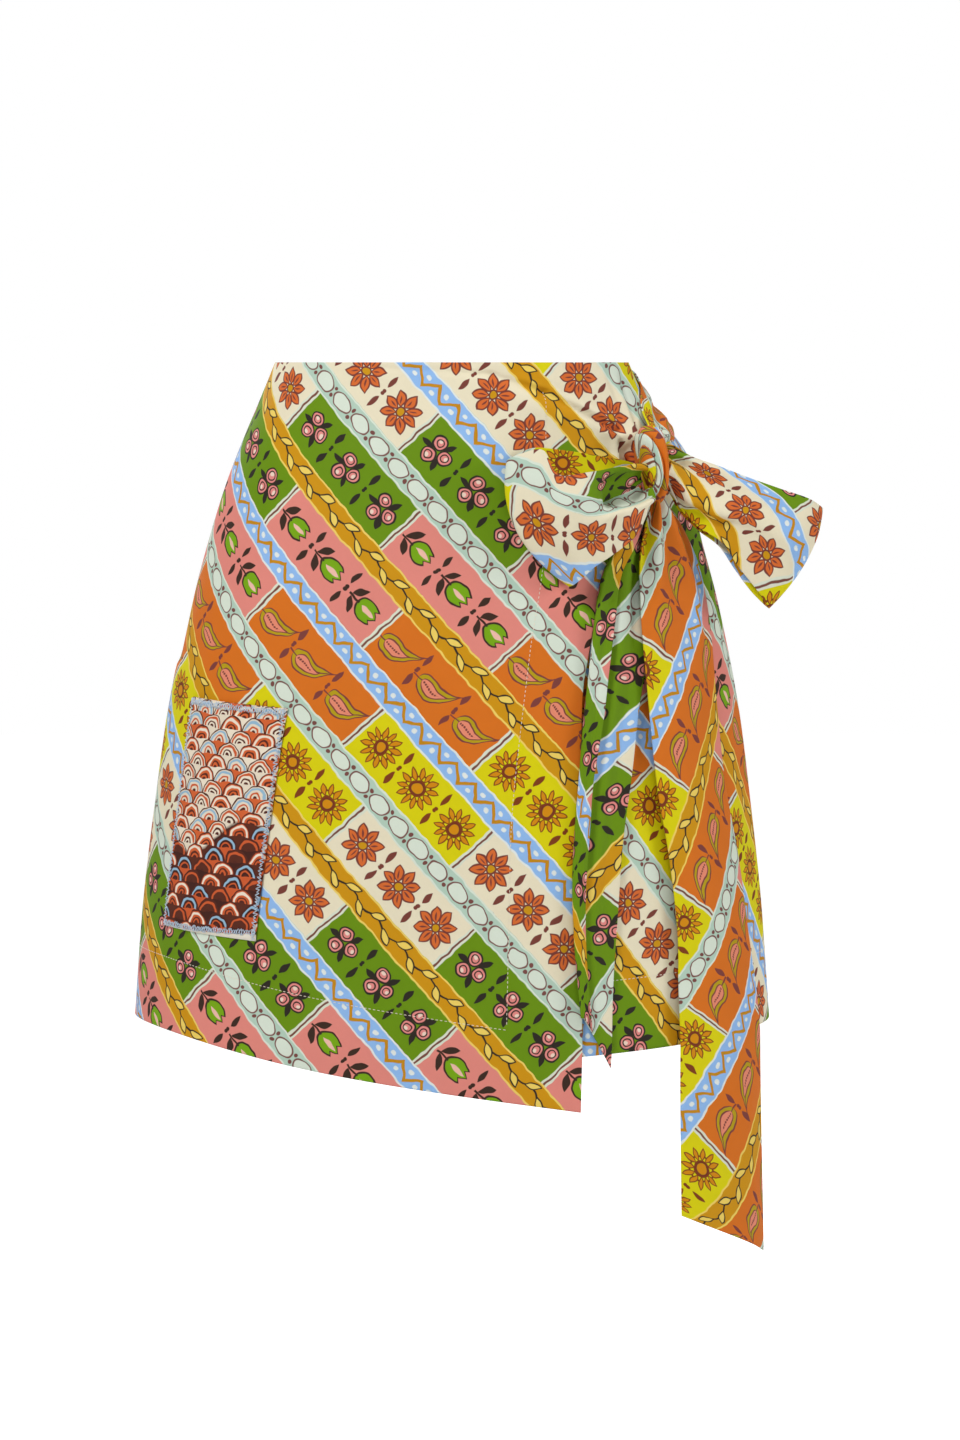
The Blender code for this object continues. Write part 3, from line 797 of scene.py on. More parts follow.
def lay_cloth(name, rows, columns, place, thickness, offset, materials):
    """A thin sheet. place(row, column) gives a point of it, and that point on the flat cloth."""
    sheet = bmesh.new()
    bmesh.ops.create_grid(sheet, x_segments=columns, y_segments=rows, size=0.5)
    flat_place = {}
    for vertex in sheet.verts:
        row = crowded(0.5 - vertex.co.y, EDGE_CROWDING)
        column = crowded(vertex.co.x + 0.5, EDGE_CROWDING)
        vertex.co, flat_place[vertex] = place(row, column)
    uv_layer = sheet.loops.layers.uv.new("flat")
    for face in sheet.faces:
        for loop in face.loops:
            loop[uv_layer].uv = flat_place[loop.vert]
    piece = made_up(name, sheet, materials)
    wall = piece.modifiers.new("cloth", "SOLIDIFY")
    wall.thickness = thickness
    wall.offset = offset
    wall.material_offset = len(materials) - 1
    wall.material_offset_rim = 0
    return piece


def lay_panel(name, rows, columns, place, materials):
    """One layer of cotton, with its face at the places given for it."""
    return lay_cloth(name, rows, columns, place, PANEL_THICKNESS, -1.0, materials)


def level_at(row, full_length):
    """The drop of a row of cloth, closest near the top, where the panels share their levels."""
    drop = row**ROW_CROWDING * SKIRT_LENGTH
    return drop + (full_length - SKIRT_LENGTH) * soft_step(HEM_ROWS_START, 1.0, row)


def hem_rise(angle):
    """How much higher a hem hangs round the right hip."""
    aside = math.remainder(angle - HEM_RISE_ANGLE, 360.0) / HEM_RISE_REACH
    return HEM_RISE * math.exp(-aside * aside)


def overlap_length(angle):
    full_turn = FREE_EDGE[-1].angle - RIGHT_SEAM
    share = max(angle - RIGHT_SEAM, 0.0) / full_turn
    return SKIRT_LENGTH + CORNER_DROP * min(share, 1.0) ** CORNER_POWER - hem_rise(angle)


def overlap_surface(angle, drop):
    """The overlap lies on the underlay, and comes down to the worn shape at the right side seam."""
    rise = soft_step(LAYER_RISE_START, LAYER_RISE_END, angle) * (SKIN + LAYER_GAP)
    return rise + fold_height(OVERLAP_FOLDS, angle, drop) + SKIN


def rolled(distance, radius=0.0016, depth=0.0012):
    """How far an edge turns in, at a distance from it."""
    return -depth * max(0.0, 1 - distance / radius) ** 2


def overlap_place(row, column):
    """The drop depends on the angle and the angle on the drop, so the two are found in turns."""
    drop = level_at(row, SKIRT_LENGTH)
    for _ in range(SETTLING_TURNS):
        end = smooth_value(FREE_EDGE, "angle", drop)
        angle = RIGHT_SEAM + column * (end - RIGHT_SEAM)
        drop = level_at(row, overlap_length(angle))
    across = cloth_width(0.0, angle, drop)
    seam = across - cloth_width(0.0, RIGHT_SEAM, drop)
    out = overlap_surface(angle, drop) + rolled(seam)
    return worn_point(angle, drop, out), (across, -drop)


overlap = lay_panel(
    "skirt_front_overlap",
    rows=176,
    columns=230,
    place=overlap_place,
    materials=face_and_reverse("overlap", turn=-48.0, along=20.0, across=12.0),
)
stand_in(overlap, "front_overlap")

# ---- Front underlay ------------------------------------------------------------------------------
# The inner front panel: one layer of the same cotton, hemmed like the rest. It is seamed to the
# back panel at the left side and runs in under the overlap, whose hollows press into it.
LEFT_SEAM = 90.0
UNDERLAY_END = -46.0
UNDERLAY_DROP = 0.0125
UNDERLAY_POWER = 1.5
# Degrees past the overlap's free edge: where its hollows start to fade, where they have gone, and
# where the underlay's own folds start.
COVERED = -1.0
UNCOVERED = 3.0
OWN_FOLDS_START = 4.0
UNDERLAY_FOLDS = (
    Fold(80.0, 0.110, 62.0, 0.440, 0.0030, 0.022),
    Fold(88.0, 0.120, 80.0, 0.450, 0.0022, 0.018),
    Fold(70.0, 0.090, 60.0, 0.300, -0.0014, 0.010),
    Fold(50.0, 0.160, 46.0, 0.450, -0.0014, 0.014),
    Fold(38.0, 0.200, 36.0, 0.460, 0.0014, 0.012),
    Fold(84.0, 0.090, 72.0, 0.220, 0.0012, 0.008),
)


def underlay_length(angle):
    share = 1 - abs(angle) / LEFT_SEAM
    return SKIRT_LENGTH + UNDERLAY_DROP * share**UNDERLAY_POWER


def underlay_surface(angle, drop):
    """The panel's own folds where it shows, and under the overlap the hollows pressed into both."""
    edge = smooth_value(FREE_EDGE, "angle", drop)
    covered = 1 - soft_step(edge + COVERED, edge + UNCOVERED, angle)
    pressed_in = covered * min(fold_height(OVERLAP_FOLDS, angle, drop), 0.0)
    bare = soft_step(edge + OWN_FOLDS_START, LEFT_SEAM, angle)
    return bare * fold_height(UNDERLAY_FOLDS, angle, drop) + pressed_in + SKIN


def underlay_place(row, column):
    angle = UNDERLAY_END + column * (LEFT_SEAM - UNDERLAY_END)
    drop = level_at(row, underlay_length(angle))
    across = cloth_width(0.0, angle, drop)
    seam = cloth_width(0.0, LEFT_SEAM, drop) - across
    return worn_point(angle, drop, underlay_surface(angle, drop) + rolled(seam)), (across, -drop)


underlay = lay_panel(
    "skirt_front_underlay",
    rows=110,
    columns=100,
    place=underlay_place,
    materials=face_and_reverse("underlay", turn=-52.0, along=66.0, across=40.0),
)
stand_in(underlay, "front_underlay")

# ---- Back panel ----------------------------------------------------------------------------------
# One width of the same cotton, seamed to a front panel at each side and hemmed like them. It falls
# in a few shallow waves below the seat.
BACK_SEAM = 270.0
BACK_MIDDLE = 180.0
BACK_FOLDS = (
    Fold(118.0, 0.080, 112.0, 0.440, 0.0030, 0.026),
    Fold(150.0, 0.150, 146.0, 0.460, 0.0026, 0.030),
    Fold(206.0, 0.140, 212.0, 0.460, 0.0028, 0.028),
    Fold(240.0, 0.090, 247.0, 0.440, 0.0024, 0.024),
    Fold(132.0, 0.190, 129.0, 0.460, -0.0016, 0.016),
    Fold(176.0, 0.210, 180.0, 0.465, -0.0018, 0.024),
    Fold(226.0, 0.160, 230.0, 0.450, -0.0014, 0.018),
    Fold(100.0, 0.030, 124.0, 0.060, -0.0014, 0.006),
    Fold(100.0, 0.040, 120.0, 0.084, 0.0014, 0.008),
    Fold(98.0, 0.052, 112.0, 0.110, -0.0012, 0.007),
    # The flat right hip goes on past the seam.
    Fold(270.0, 0.206, 270.0, 0.214, -0.0034, 0.095),
)


def back_length(angle):
    return SKIRT_LENGTH - hem_rise(angle)


def back_surface(angle, drop):
    return fold_height(BACK_FOLDS, angle, drop) + SKIN


def back_place(row, column):
    angle = LEFT_SEAM + column * (BACK_SEAM - LEFT_SEAM)
    drop = level_at(row, back_length(angle))
    across = cloth_width(BACK_MIDDLE, angle, drop)
    seam = cloth_width(BACK_MIDDLE, BACK_SEAM, drop) - abs(across)
    return worn_point(angle, drop, back_surface(angle, drop) + rolled(seam)), (across, -drop)


back = lay_panel(
    "skirt_back",
    rows=110,
    columns=150,
    place=back_place,
    materials=face_and_reverse("back", turn=-48.0, along=5.0, across=31.0),
)
stand_in(back, "back_panel")

# ---- Patch ---------------------------------------------------------------------------------------
# A rectangle of cotton in another print, laid on the overlap near the right hip. It is sewn down
# all round with the zigzag of the next section, and puckers a little there.
PATCH_ANGLE = -62.6
PATCH_DROP = 0.232
PATCH_WIDTH = 0.085
PATCH_LENGTH = 0.160
PATCH_LEAN = 0.045
# In degrees round the body for each metre down.
PATCH_SWING = 7.5
PATCH_LIFT = 0.0021
PATCH_ROLL_RADIUS = 0.003
PATCH_ROLL_DEPTH = 0.0009
PUCKER_HEIGHT = 0.0004
# In radians for each metre down.
PUCKER_RATE = 700.0
PUCKER_REACH = 0.004

# The print's scales come in three kinds, which grow darker towards the foot of the patch.
SCALE_WIDTH = 18.0
DARK_START = 92.0
DARK_WAVE = 14.0
DARK_WAVE_RATE = 0.07
DARK_SOFTNESS = 3.0
MARGIN_START = 30.0
MARGIN_SLOPE = 0.065
Scale = namedtuple("Scale", "cloth dark_cloth ring inner")
CLAY = linear(206, 92, 48)
BROWN = linear(92, 44, 30)
SCALES = (
    Scale(linear(240, 226, 204), BROWN, CLAY, BROWN),
    Scale(linear(214, 100, 52), CLAY, linear(240, 226, 206), BROWN),
    Scale(linear(232, 218, 196), linear(70, 34, 26), linear(150, 186, 210), CLAY),
)


def scallop_group():
    """Rows of overlapping scales, each with rings, over a place in millimetres of flat cloth."""
    outputs = {"Colour": "Color", "Ink": "Float"}
    group, (place,), leave = new_group("Scallop print", {"Place": "Vector"}, outputs)
    x, y = hand_drawn(place, scale=0.12, reach=3.0)
    pitch = SCALE_WIDTH / 2
    row = y.math("FLOOR", y / pitch)

    def scale_distance(which_row):
        shift = (which_row % 2.0) * pitch
        return length((x + shift) % SCALE_WIDTH - pitch, y - which_row * pitch)

    upper = scale_distance(row)
    lower = scale_distance(row - 1.0)
    covers = upper.math("LESS_THAN", upper, pitch)
    distance = lower + (upper - lower) * covers
    owner = row - (1.0 - covers)
    column = x.math("FLOOR", (x + (owner % 2.0) * pitch) / SCALE_WIDTH)
    kind = (owner * 2.0 + column) % float(len(SCALES))
    wave = DARK_WAVE * x.math("SINE", x * DARK_WAVE_RATE)
    dark = inside(y + DARK_START + wave, DARK_SOFTNESS)
    colour = mixed(dark, picked(kind, SCALES, "cloth"), picked(kind, SCALES, "dark_cloth"))
    ring = inside(abs(distance - 6.6) - 0.8)
    inner = inside(abs(distance - 3.6) - 0.6)
    heart = inside(distance - 1.7)
    rim = inside(abs(distance - pitch + 0.3) - 0.6)
    colour = mixed(ring, colour, picked(kind, SCALES, "ring"))
    colour = mixed(inner, colour, picked(kind, SCALES, "inner"))
    colour = mixed(larger(rim, heart), colour, linear(86, 40, 30))

    # A bare margin widens along the foot.
    place_x, place_y = split_vector(place)
    widened = MARGIN_SLOPE * larger(place_x - MARGIN_START, 0.0)
    bare = inside(place_y + 1000 * PATCH_LENGTH - 1.0 - widened)
    colour = mixed(bare, colour, linear(238, 230, 214))
    put_out(leave, Colour=colour, Ink=rim)
    return group


def patch_spot(across, down):
    """The angle and drop of a place on the patch, in metres from its top corner."""
    drop = PATCH_DROP + down + PATCH_LEAN * across
    angle = PATCH_ANGLE - PATCH_SWING * down
    steps = 6
    for _ in range(steps):
        turn = math.radians(angle)
        half_width = smooth_value(WORN_SHAPE, "half_width", drop)
        depth = smooth_value(WORN_SHAPE, "front_depth", drop)
        pace = math.hypot(half_width * math.cos(turn), depth * math.sin(turn))
        angle += math.degrees(across / steps / pace)
    return angle, drop


def patch_point(across, down, lift):
    angle, drop = patch_spot(across, down)
    return worn_point(angle, drop, overlap_surface(angle, drop) + lift)


def patch_place(row, column):
    """The patch puckers a little where it is sewn down."""
    across, down = column * PATCH_WIDTH, row * PATCH_LENGTH
    edge = min(across, PATCH_WIDTH - across, down, PATCH_LENGTH - down)
    wave = PUCKER_HEIGHT * math.sin(PUCKER_RATE * down)
    pucker = wave * math.exp(-edge / PUCKER_REACH)
    lift = PATCH_LIFT + rolled(edge, PATCH_ROLL_RADIUS, PATCH_ROLL_DEPTH) + pucker
    return patch_point(across, down, lift), (across, -down)


patch = lay_panel(
    "patch_cloth",
    rows=80,
    columns=44,
    place=patch_place,
    materials=[cloth_material("patch_print", scallop_group())],
)
stand_in(patch, "patch")

# ---- Stitching -----------------------------------------------------------------------------------
# Topstitching in pale thread along the facing and the hems, and a pale blue zigzag round the patch.
# Each stitch is a short run of spun thread, which lies on the cloth as a flattened bead.
THREAD_HALF_WIDTH = 0.00032
THREAD_HALF_HEIGHT = 0.00030
STITCH_PITCH = 0.0031
STITCH_GAP = 0.0008
LINE_STEPS = 160

# The facing's stitching leans away from the free edge near the top, where the corner is drawn up.
FACING_LINE = (
    Station(0.020, 28.6),
    Station(0.075, 24.4),
    Station(0.135, 20.8),
    Station(0.196, 16.2),
    Station(0.297, 11.6),
    Station(0.380, 10.3),
    Station(0.452, 9.6),
)
# How far the underlay's hem stitching runs on under the overlap, in degrees.
HIDDEN_STITCHES = 14.0


def thread_material(name, colour):
    """Spun thread: a fine twist in its relief, over a plain colour."""
    material, tree, shader = new_material(name)
    shader.inputs["Base Color"].default_value = (*colour, 1.0)
    shader.inputs["Roughness"].default_value = 0.55
    shader.inputs["Sheen Weight"].default_value = 0.1
    where = tree.nodes.new("ShaderNodeTexCoord")
    twist = tree.nodes.new("ShaderNodeTexWave")
    twist.wave_type = "BANDS"
    twist.bands_direction = "DIAGONAL"
    twist.inputs["Scale"].default_value = 900.0
    tree.links.new(where.outputs["Object"], twist.inputs["Vector"])
    relief = tree.nodes.new("ShaderNodeBump")
    relief.inputs["Distance"].default_value = 0.0001
    tree.links.new(twist.outputs["Fac"], relief.inputs["Height"])
    tree.links.new(relief.outputs[0], shader.inputs["Normal"])
    return material


def sew(name, stitches, half_width, height, material):
    """Each stitch, a pair of end points and the way out of the cloth, as a small flattened bead."""
    beads = bmesh.new()
    for start, end, out in stitches:
        run = (end - start) / 2
        aside = run.cross(out).normalized()
        stand = aside.cross(run).normalized()
        shape = Matrix((run, aside * half_width, stand * height)).transposed().to_4x4()
        shape.translation = (start + end) / 2
        bmesh.ops.create_icosphere(beads, subdivisions=1, radius=1.0, matrix=shape)
    bmesh.ops.recalc_face_normals(beads, faces=beads.faces)
    return made_up(name, beads, [material])


def surface_out(angle, drop):
    """The way out of the cloth."""
    reach = 0.01
    return (worn_point(angle, drop, reach) - worn_point(angle, drop)).normalized()


def running_lengths(points):
    """The length of a line from its first point to each one."""
    lengths = [0.0]
    for one, two in zip(points, points[1:]):
        lengths.append(lengths[-1] + (two - one).length)
    return lengths


def stitch_run(spots, surface):
    """Stitches of even pitch along a line of (angle, drop) spots on a panel."""
    points = [worn_point(*spot, surface(*spot)) for spot in spots]
    lengths = running_lengths(points)

    def at(distance):
        index = max(i for i in range(len(lengths) - 1) if lengths[i] <= distance)
        share = (distance - lengths[index]) / (lengths[index + 1] - lengths[index])
        return points[index].lerp(points[index + 1], share), surface_out(*spots[index])

    stitches = []
    for number in range(int(lengths[-1] / STITCH_PITCH)):
        start, out = at(number * STITCH_PITCH + STITCH_GAP / 2)
        end, _ = at((number + 1) * STITCH_PITCH - STITCH_GAP / 2)
        stitches.append((start, end, out))
    return stitches


def line_of_spots(start, end, spot_at):
    """Spots at even steps from one drop or angle to another."""
    return [spot_at(start + (end - start) * step / LINE_STEPS) for step in range(LINE_STEPS + 1)]


def facing_spot(drop):
    return smooth_value(FACING_LINE, "angle", drop), drop


def hem_line(start, end, length_at_angle):
    """The line of a hem's stitching from one angle to another."""
    return line_of_spots(start, end, lambda angle: (angle, length_at_angle(angle) - HEM_WIDTH))


pale_thread = thread_material("pale_thread", linear(238, 226, 206))


def topstitch(name, lines, surface):
    """Topstitching along lines of spots on a panel, fixed to the body with it."""
    stitches = [stitch for line in lines for stitch in stitch_run(line, surface)]
    piece = sew(name, stitches, THREAD_HALF_WIDTH, THREAD_HALF_HEIGHT, pale_thread)
    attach(piece, "root")
    return piece


facing_top, facing_foot = FACING_LINE[0], FACING_LINE[-1]
overlap_lines = [
    line_of_spots(facing_top.drop, facing_foot.drop, facing_spot),
    hem_line(facing_foot.angle, RIGHT_SEAM, overlap_length),
]
overlap_stitches = topstitch("stitches_overlap", overlap_lines, overlap_surface)
hidden_start = FREE_EDGE[-1].angle - HIDDEN_STITCHES
underlay_stitches = topstitch(
    "stitches_underlay",
    [hem_line(hidden_start, LEFT_SEAM, underlay_length)],
    underlay_surface,
)
back_stitches = topstitch(
    "stitches_back",
    [hem_line(LEFT_SEAM, BACK_SEAM, back_length)],
    back_surface,
)

# The zigzag is dense at the patch's two ends and open down its sides, and uneven, as if by hand.
ZIGZAG_HALF_WIDTH = 0.00034
ZIGZAG_HALF_HEIGHT = 0.00040
UNEVEN = 0.0006
# How fast the unevenness changes, in radians from one turning point or one run to the next.
INSET_RATE = 1.9
INSET_RUN_RATE = 2.3
STEP_RATE = 2.7
SLANT_START = 0.03
ZIGZAG_LIFT = 0.0003
PASS_LIFT = 0.0002
Side = namedtuple("Side", "across down run_across run_down length outer inner slant pitch passes")
PATCH_SIDES = (
    Side(0.0, 0.0, 1, 0, PATCH_WIDTH, 0.0004, 0.0056, 0.000, 0.0019, 2),
    Side(PATCH_WIDTH, 0.0, 0, 1, PATCH_LENGTH, 0.0003, 0.0036, 0.000, 0.0012, 1),
    Side(PATCH_WIDTH, PATCH_LENGTH, -1, 0, PATCH_WIDTH, 0.0004, 0.0050, 0.060, 0.0019, 2),
    Side(0.0, PATCH_LENGTH, 0, -1, PATCH_LENGTH, 0.0003, 0.0036, 0.000, 0.0012, 1),
)


def zigzag_points(side, run):
    """The turning points of one run of zigzag along a side of the patch."""
    lift = PATCH_LIFT + ZIGZAG_LIFT + PASS_LIFT * run
    points = []
    for number in range(int(side.length / side.pitch) + 1):
        walked = number * side.pitch
        inset = side.inner if (number + run) % 2 else side.outer
        inset += UNEVEN * math.sin(number * INSET_RATE + run * INSET_RUN_RATE)
        inset += side.slant * max(side.length - walked - SLANT_START, 0.0)
        along = walked + UNEVEN * math.sin(number * STEP_RATE + run)
        across = side.across + side.run_across * along - side.run_down * inset
        down = side.down + side.run_down * along + side.run_across * inset
        points.append((patch_point(across, down, lift), surface_out(*patch_spot(across, down))))
    return points


zigzag_stitches = []
for side in PATCH_SIDES:
    for run in range(side.passes):
        points = zigzag_points(side, run)
        zigzag_stitches += [(one[0], two[0], one[1]) for one, two in zip(points, points[1:])]
blue_thread = thread_material("blue_thread", linear(204, 221, 238))
zigzag = sew(
    "patch_zigzag",
    zigzag_stitches,
    ZIGZAG_HALF_WIDTH,
    ZIGZAG_HALF_HEIGHT,
    blue_thread,
)
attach(zigzag, "root")

# ---- Bow loops -----------------------------------------------------------------------------------
# The tie is a long strip folded double. Its two loops spring from the knot, gathered where it grips
# them: the left one lies open over the front, and the right one stands out over the hip.
TIE_WIDTH = 0.080
TIE_THICKNESS = 0.0012
KNOT_ANGLE = 53.6
KNOT_DROP = 0.0705
KNOT_OUT = 0.0214
KNOT_LEAN = 0.11
BOW_TURN = 22.0
GATHER_REACH = 0.032
GATHERS = 2
GATHER_HEIGHT = 0.0016
MILLIMETRE = 0.001

# Sections across a loop at its two edges and its middle, in millimetres from the knot.
LoopSection = namedtuple(
    "LoopSection",
    "upper_along upper_up upper_out middle_along middle_up middle_out "
    "lower_along lower_up lower_out",
)
LEFT_LOOP = (
    LoopSection(-9.3, 0, -5, -9.2, -10, -5, -8.6, -20, -1),
    LoopSection(-18, 3, -7, -16, -14, -3, -14, -34, 5),
    LoopSection(-36, 6, -7, -34, -22, 0, -32, -50, 9),
    LoopSection(-61, 10, -6, -60, -26, 1, -49, -65, 12),
    LoopSection(-87, 12, -7, -88, -31, 2, -63, -77, 13),
    LoopSection(-106, 4, -4, -105, -42, 8, -70, -81, 18),
    LoopSection(-102, 8, 7, -101, -34, 20, -69, -80, 24),
    LoopSection(-90, 11, 20, -90, -34, 31, -64, -75, 28),
    LoopSection(-83, -5, 28, -78, -33, 35, -57, -68, 31),
    LoopSection(-62, -4, 30, -60, -31, 36, -45, -60, 32),
    LoopSection(-38, -1, 21, -37, -23, 27, -28, -49, 26),
    LoopSection(-18, 0, 10, -17, -15, 14, -15, -36, 14),
    LoopSection(-9.3, -1, 5, -9.2, -10, 8, -8.6, -24, 9),
)
RIGHT_LOOP = (
    LoopSection(10, 14, -5, 10, 2, -6, 9, -10, -5),
    LoopSection(20, 13, -7, 20, -2, -10, 15, -20, -6),
    LoopSection(31, 6, -6, 32, -11, -11, 22, -33, -6),
    LoopSection(48, -1, -1, 49, -22, -8, 36, -46, -3),
    LoopSection(68, -9, 5, 66, -32, -3, 51, -57, 0),
    LoopSection(90, -18, 10, 82, -43, 2, 62, -73, 3),
    LoopSection(110, -26, 15, 99, -57, 9, 73, -89, 8),
    LoopSection(122, -31, 18, 112, -66, 15, 84, -100, 12),
    LoopSection(110, -24, 21, 99, -55, 23, 74, -88, 15),
    LoopSection(89, -17, 17, 81, -40, 20, 60, -70, 11),
    LoopSection(67, -9, 12, 64, -30, 15, 49, -54, 8),
    LoopSection(47, -1, 6, 46, -21, 9, 34, -45, 4),
    LoopSection(30, 5, 1, 30, -11, 4, 21, -33, 1),
    LoopSection(20, 10, 0, 20, -4, 3, 14, -20, 1),
    LoopSection(10, 10, 5, 10, 1, 6, 9, -8, 3),
)

# Creases in millimetres of flat tie: along from where the piece starts, and across from its first
# edge. A crease lifts the cloth, and may slide it across too, so that it folds over.
Crease = namedtuple(
    "Crease",
    "start_along start_across end_along end_across height reach slide",
    defaults=(0.0,),
)
LEFT_LOOP_CREASES = (
    # The open layer: a deep pocket at the knot over a sharp ridge, and a dip in its upper edge.
    Crease(228, 74, 210, 73, 6.0, 7.0, -12.0),
    Crease(212, 73, 176, 55, 9.0, 9.0, -14.0),
    Crease(180, 54, 150, 42, 2.0, 9.0),
    Crease(193, 38, 228, 58, -17.0, 12.0),
    Crease(194, 18, 228, 34, -13.0, 13.0),
    Crease(228, 4, 190, 0, 4.0, 7.0),
    Crease(186, 60, 136, 68, -1.6, 8.0),
    Crease(160, 24, 128, 46, 1.2, 10.0),
    # The layer against the skirt.
    Crease(0, 22, 60, 16, -2.0, 7.0),
    Crease(0, 60, 50, 64, -1.6, 7.0),
    Crease(30, 40, 92, 30, -1.4, 8.0),
)
# On the right loop a height above 0 goes into the loop. A ridge hangs over a hollow by the knot.
RIGHT_LOOP_CREASES = (
    Crease(254, 46, 232, 56, -6.0, 8.0, 10.0),
    Crease(233, 56, 206, 50, -6.0, 9.0, 10.0),
    Crease(207, 50, 148, 38, -3.4, 9.0, 5.0),
    Crease(250, 70, 208, 70, 9.0, 11.0),
    Crease(254, 24, 204, 28, 3.0, 7.0),
    Crease(254, 9, 210, 10, -2.2, 5.0),
    Crease(172, 14, 136, 22, -1.2, 10.0),
    Crease(160, 64, 140, 56, 1.2, 8.0),
    Crease(0, 22, 60, 20, 2.2, 7.0),
    Crease(0, 44, 70, 44, -2.2, 8.0),
    Crease(4, 66, 44, 67, -5.0, 9.0),
)


def bow_point(along, up, out):
    """A point in the bow's own frame: along to the wearer's left, up, and out from the body."""
    turn = math.radians(BOW_TURN)
    middle = worn_point(KNOT_ANGLE, KNOT_DROP, KNOT_OUT)
    sideways = Vector((math.cos(turn), math.sin(turn), 0)) * along
    outward = Vector((math.sin(turn), -math.cos(turn), 0)) * out
    return middle + sideways + outward + Vector((0, 0, up))


# The names of a table's three edges, and what its columns add to them for each coordinate.
TieEdges = namedtuple("TieEdges", "first middle last parts")
LOOP_EDGES = TieEdges("upper", "middle", "lower", parts=("_along", "_up", "_out"))


def edge_point(table, edges, edge, position):
    """A point of one named edge of the tie, at any section position."""
    index = min(int(position), len(table) - 2)
    share = position - index
    rows = [table[min(max(index + step, 0), len(table) - 1)] for step in (-1, 0, 1, 2)]
    names = [edge + part for part in edges.parts]
    before, start, end, after = (Vector([getattr(row, name) for name in names]) for row in rows)
    leave = (end - before) * 0.5
    arrive = (after - start) * 0.5
    bend = start * (1 + 2 * share) * (1 - share) ** 2 + end * share * share * (3 - 2 * share)
    return bend + leave * share * (1 - share) ** 2 + arrive * share * share * (share - 1)


def across_three(first, middle, last, share):
    """A smooth line through three points: first at 0, middle at a half and last at 1."""
    near = (1 - share) * (1 - 2 * share)
    half = 4 * share * (1 - share)
    far = share * (2 * share - 1)
    return first * near + middle * half + last * far


def section_lengths(table, edges, to_point):
    """Cloth length from the first section to each one, along the middle of the tie."""
    spots = [edge_point(table, edges, edges.middle, section) for section in range(len(table))]
    return running_lengths([to_point(*spot) for spot in spots])


def length_at(lengths, position):
    index = min(int(position), len(lengths) - 2)
    return lengths[index] + (lengths[index + 1] - lengths[index]) * (position - index)


def crease_pull(creases, along, across):
    """How far creases lift the cloth and slide it across, at one place of flat tie."""
    lift = slide = 0.0
    here = Vector((along, across))
    for crease in creases:
        start = Vector((crease.start_along, crease.start_across)) * MILLIMETRE
        end = Vector((crease.end_along, crease.end_across)) * MILLIMETRE
        pull = ridge(here, start, end, MILLIMETRE, crease.reach * MILLIMETRE)
        lift += crease.height * pull
        slide += crease.slide * pull
    return lift, slide


def tie_place(table, edges, to_point, along_columns, finish, creases):
    """Lay the tie through a table of sections, with its creases square to its surface."""
    lengths = section_lengths(table, edges, to_point)
    step = 0.01

    def surface(position, across):
        spots = [edge_point(table, edges, edge, position) for edge in edges[:3]]
        return finish(across_three(*spots, across), across)

    def place(row, column):
        share, across = (column, row) if along_columns else (row, column)
        position = share * (len(table) - 1)
        along = length_at(lengths, position)
        lift, slide = crease_pull(creases, along, across * TIE_WIDTH)
        lying = across + slide / TIE_WIDTH
        run = surface(position + step, lying) - surface(position - step, lying)
        rise = surface(position, lying + step) - surface(position, lying - step)
        out = rise.cross(run) if along_columns else run.cross(rise)
        point = surface(position, lying) + out.normalized() * lift
        return point, (along, across * TIE_WIDTH)

    return place


def lay_tie(name, rows, columns, place, material):
    """A length of the doubled tie, printed on both of its sides."""
    return lay_cloth(name, rows, columns, place, TIE_THICKNESS, 0.0, [material])


def loop_point(along, up, out):
    return bow_point(along * MILLIMETRE, up * MILLIMETRE, out * MILLIMETRE)


def gathered_loop(spot, across):
    """Finish a loop's point: it leans with the knot and is gathered near it."""
    along, up, out = spot * MILLIMETRE
    nearness = math.exp(-((along / GATHER_REACH) ** 2))
    gather = GATHER_HEIGHT * math.cos(math.tau * GATHERS * across)
    return bow_point(along - KNOT_LEAN * up * nearness, up, out + gather * nearness)


left_loop = lay_tie(
    "bow_left",
    rows=56,
    columns=170,
    place=tie_place(LEFT_LOOP, LOOP_EDGES, loop_point, True, gathered_loop, LEFT_LOOP_CREASES),
    material=cloth_material("loop_left_face", PRINT, turn=27.0, along=28.0, across=144.0),
)
right_loop = lay_tie(
    "bow_right",
    rows=56,
    columns=170,
    place=tie_place(RIGHT_LOOP, LOOP_EDGES, loop_point, True, gathered_loop, RIGHT_LOOP_CREASES),
    material=cloth_material("loop_right_face", PRINT, turn=-35.0, along=-77.0, across=-123.0),
)
stand_in(left_loop, "bow_loop_left")
stand_in(right_loop, "bow_loop_right")

# ---- Knot ----------------------------------------------------------------------------------------
# The doubled cotton tie, wound once round the middle of the bow over the start of each loop. It is
# drawn tight, into long pleats that slant to the left hip.
KNOT_HALF_WIDTH = 0.0098
KNOT_HALF_HEIGHT = 0.0258
KNOT_HALF_DEPTH = 0.0134
KNOT_TAPER = 0.22
KNOT_DOME = 4
KNOT_PROFILE_STEPS = 110
KNOT_TURN_STEPS = 120
MERGE_DISTANCE = 1e-6
PLEATS = 1.22
PLEAT_START = 0.42
PLEAT_ARC = 0.95
PLEAT_ARC_FOOT = -0.05
PLEAT_UNEVEN = 0.13
PLEAT_UNEVEN_RATE = 4.3
PLEAT_DEPTH = 0.0044
PLEAT_MIDDLE = 0.7
# The cloth that shows round the knot and across it, and what each valley hides.
CLOTH_ROUND = 0.8 * KNOT_HALF_HEIGHT
CLOTH_ACROSS = 0.2 * TIE_WIDTH
HIDDEN_CLOTH = 0.021


